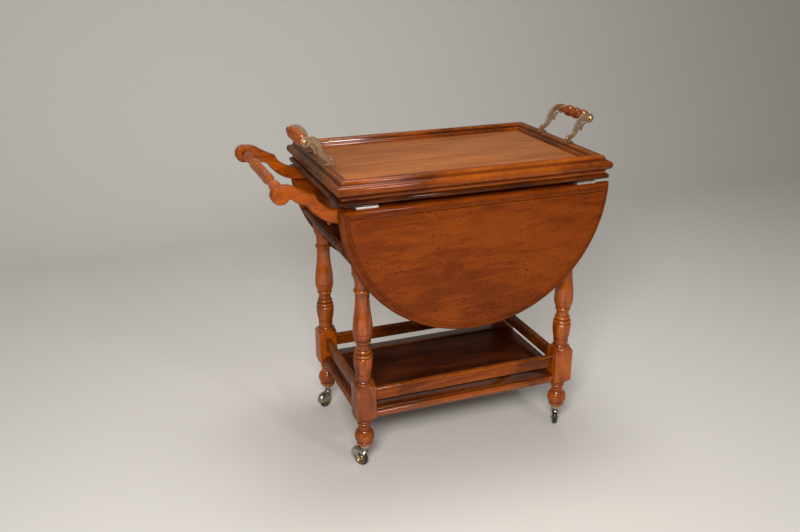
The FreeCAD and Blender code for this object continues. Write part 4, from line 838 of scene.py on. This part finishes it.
def hoodShell():
    # a channel bent about the axle: at the degree f its radius is
    # r + s (exp(-((f - full) / over)^2) - exp(-(f / tip)^2)), so that it swells and dips at its rear
    # tip; across it is a half oval crown over two straight cheeks
    h = caster["hood"]
    f = np.linspace(h["from"], h["to"], 44)[:, None]
    fromFull = f - h["fullAt"]
    bend = np.exp(-(fromFull / h["swellOver"]) ** 2) - np.exp(-(f / h["tipOver"]) ** 2)
    radius = h["radius"] + h["swell"] * bend
    lip = radius - (h["cheek"] + h["deeper"] * np.exp(-(fromFull / h["deeperOver"]) ** 2))
    a = np.linspace(-math.pi / 2, math.pi / 2, 15)[None]
    outer = radius - h["crown"] * (1 - np.cos(a))
    inner = radius - h["wall"] - (h["crown"] - h["wall"]) * (1 - np.cos(a[:, ::-1]))
    radial = np.concatenate([lip, outer, lip, lip, inner, lip], 1)
    w, t = h["halfWidth"], h["wall"]
    across = np.concatenate([[-w], w * np.sin(a[0]), [w, w - t], (w - t) * np.sin(a[0, ::-1]), [t - w]])
    angle = np.radians(f)
    return gridPart(np.stack([caster["trail"] + radial * np.cos(angle), np.broadcast_to(across, radial.shape),
                              caster["axle"] + radial * np.sin(angle)], -1))


def hoodStraps():
    # round about the axle and wider at the hood: u points from the axle to the hood, n across it
    s = caster["strap"]
    angle = math.radians(s["angle"])
    u = np.array([math.cos(angle), math.sin(angle)])
    n = np.array([-u[1], u[0]])
    hub = np.array([caster["trail"], caster["axle"]])
    corners = [tuple(hub + s["hub"] * n), (*(hub - s["hub"] * u), 1), tuple(hub - s["hub"] * n),
               tuple(hub + s["length"] * u - s["halfWidth"] * n),
               tuple(hub + s["length"] * u + s["halfWidth"] * n)]
    shape = outline(corners, True, step=caster["line"]["step"])
    strap = cutPart(shape, s["thickness"], s["edge"], 0.8)
    return [placed(strap, at=(0, y, 0)) for y in s["at"]]


neck = turnedPart(outline(caster["neck"], **caster["line"]), 40)
pin = turnedPart(outline(caster["pin"], **caster["line"]), 32)
hoodParts = [hoodShell(), *hoodStraps(), neck, placed(pin, tip="y", at=(caster["trail"], 0, caster["axle"]))]
collar = ringPart(outline(caster["collar"], True, **caster["line"]), 48)
wheel, tyre = (placed(ringPart(outline(caster[name], True, **caster["line"]), 56), tip="y")
               for name in ("wheel", "tyre"))
makePiece("casterCollars", [placed(collar, at=(x, y, 0)) for x, y in leg["corners"].values()], "frame",
          casterBrass, ["caster_collars"])
for corner, turn in caster["turns"].items():
    x, y = leg["corners"][corner]
    c, s = math.cos(math.radians(turn)), math.sin(math.radians(turn))
    hub = (x + caster["trail"] * c, y + caster["trail"] * s, caster["axle"])
    makePiece("casterHood_" + corner, [placed(part, turn, (x, y, 0)) for part in hoodParts],
              "caster_" + corner, casterBrass, ["caster_hood_" + corner])
    makePiece("casterWheel_" + corner, [placed(wheel, turn, hub)], "wheel_" + corner, polishedBrass,
              ["caster_wheel_" + corner])
    makePiece("casterTyre_" + corner, [placed(tyre, turn, hub)], "wheel_" + corner, blackRubber,
              ["caster_tyre_" + corner])
print("stage: casters made")


# Nodes that keep their solid shape

kept = [
    (woodLong, ["case_side_front", "case_side_back", "fly_bracket_front", "fly_bracket_back"]),
    (woodCross, ["case_end_panel"]),
    (plainWood, ["drawer_side_front", "drawer_side_back", "drawer_back", "drawer_bottom"]),
    (hingeSteel, ["top_hinges_and_pins", "leaf_hinges_front", "leaf_hinges_back"]),
]
for finish, names in kept:
    for node in names:
        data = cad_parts[node].data
        data.materials.clear()
        data.materials.append(finish["material"])
print("stage: kept nodes finished")


# Floor, backdrop, lamps and camera, in metres

studio = {
    "floor": "cbc6be", "floorRoughness": 0.8, "world": (0.6, 0.6, 0.6), "worldStrength": 0.28,
    # the floor's near edge, where it bends up and the radius of the bend, the top and the half width
    "near": -5.0, "bend": 1.6, "radius": 0.9, "high": 3.6, "half": 5.0,
    # name: (place, size, power, aims at)
    "lamps": {
        "key": ((-1.2, -2.1, 1.85), 0.7, 66, (-0.1, 0, 0.45)),
        "spark": ((-0.75, -2.4, 1.8), 0.16, 13, (0, 0, 0.4)),
        "side": ((0.7, -2.5, 2.1), 0.22, 11, (0, 0, 0.4)),
        "top": ((0.2, 0.3, 3.0), 1.0, 34, (0, 0, 0.5)),
    },
    # place, angles down and to the right in radians, focal length and sensor in mm
    "camera": {"place": (-0.84466, -1.91894, 1.25699), "down": 0.37223, "right": 0.36327,
               "lens": 39.19, "sensor": 36},
}


def makeStage():
    # a floor that bends up into a backdrop: (x, y, 0) for y < b, then a quarter round, then upright
    b, r, half = studio["bend"], studio["radius"], studio["half"]
    a = np.linspace(0, math.pi / 2, 20)
    y = np.concatenate([[studio["near"]], b + r * np.sin(a), [b + r]])
    z = np.concatenate([[0.0], r - r * np.cos(a), [studio["high"]]])
    x = np.array([-half, half])
    grid = np.stack([np.broadcast_to(x, (len(y), 2)), np.repeat(y[:, None], 2, 1),
                     np.repeat(z[:, None], 2, 1)], -1)
    points, faces, relief = gridPart(grid, ring=False, caps=False)
    mesh = bpy.data.meshes.new("backdrop")
    mesh.from_pydata(points.tolist(), [], faces)
    mesh.shade_smooth()
    stage = bpy.data.objects.new("backdrop", mesh)
    bpy.context.scene.collection.objects.link(stage)
    n = Nodes("backdropPaper")
    n.put(n.shader, "Base Color", colour(studio["floor"]))
    n.put(n.shader, "Roughness", studio["floorRoughness"])
    mesh.materials.append(n.material)
    stage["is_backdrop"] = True


def addToScene(name, data, place):
    thing = bpy.data.objects.new(name, data)
    bpy.context.scene.collection.objects.link(thing)
    thing.location = place
    return thing


makeStage()
world = bpy.data.worlds.new("studioWorld")
bpy.context.scene.world = world
world.use_nodes = True
background = world.node_tree.nodes["Background"]
background.inputs["Color"].default_value = (*studio["world"], 1)
background.inputs["Strength"].default_value = studio["worldStrength"]
for name, (place, size, power, target) in studio["lamps"].items():
    data = bpy.data.lights.new(name + "Lamp", "AREA")
    data.shape = "SQUARE"
    data.size = size
    data.energy = power
    lamp = addToScene(name + "Lamp", data, place)
    lamp.rotation_euler = (Vector(target) - lamp.location).to_track_quat("-Z", "Y").to_euler()

view = studio["camera"]
cameraData = bpy.data.cameras.new("camera")
cameraData.lens = view["lens"]
cameraData.sensor_width = view["sensor"]
camera = addToScene("camera", cameraData, view["place"])
camera.rotation_euler = (math.pi / 2 - view["down"], 0, -view["right"])
bpy.context.scene.camera = camera
bpy.context.scene.view_settings.view_transform = "Standard"
print("stage: studio lit, camera set")

size = {"cad": [list(v) for v in cadBox], "visual": [list(v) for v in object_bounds()]}
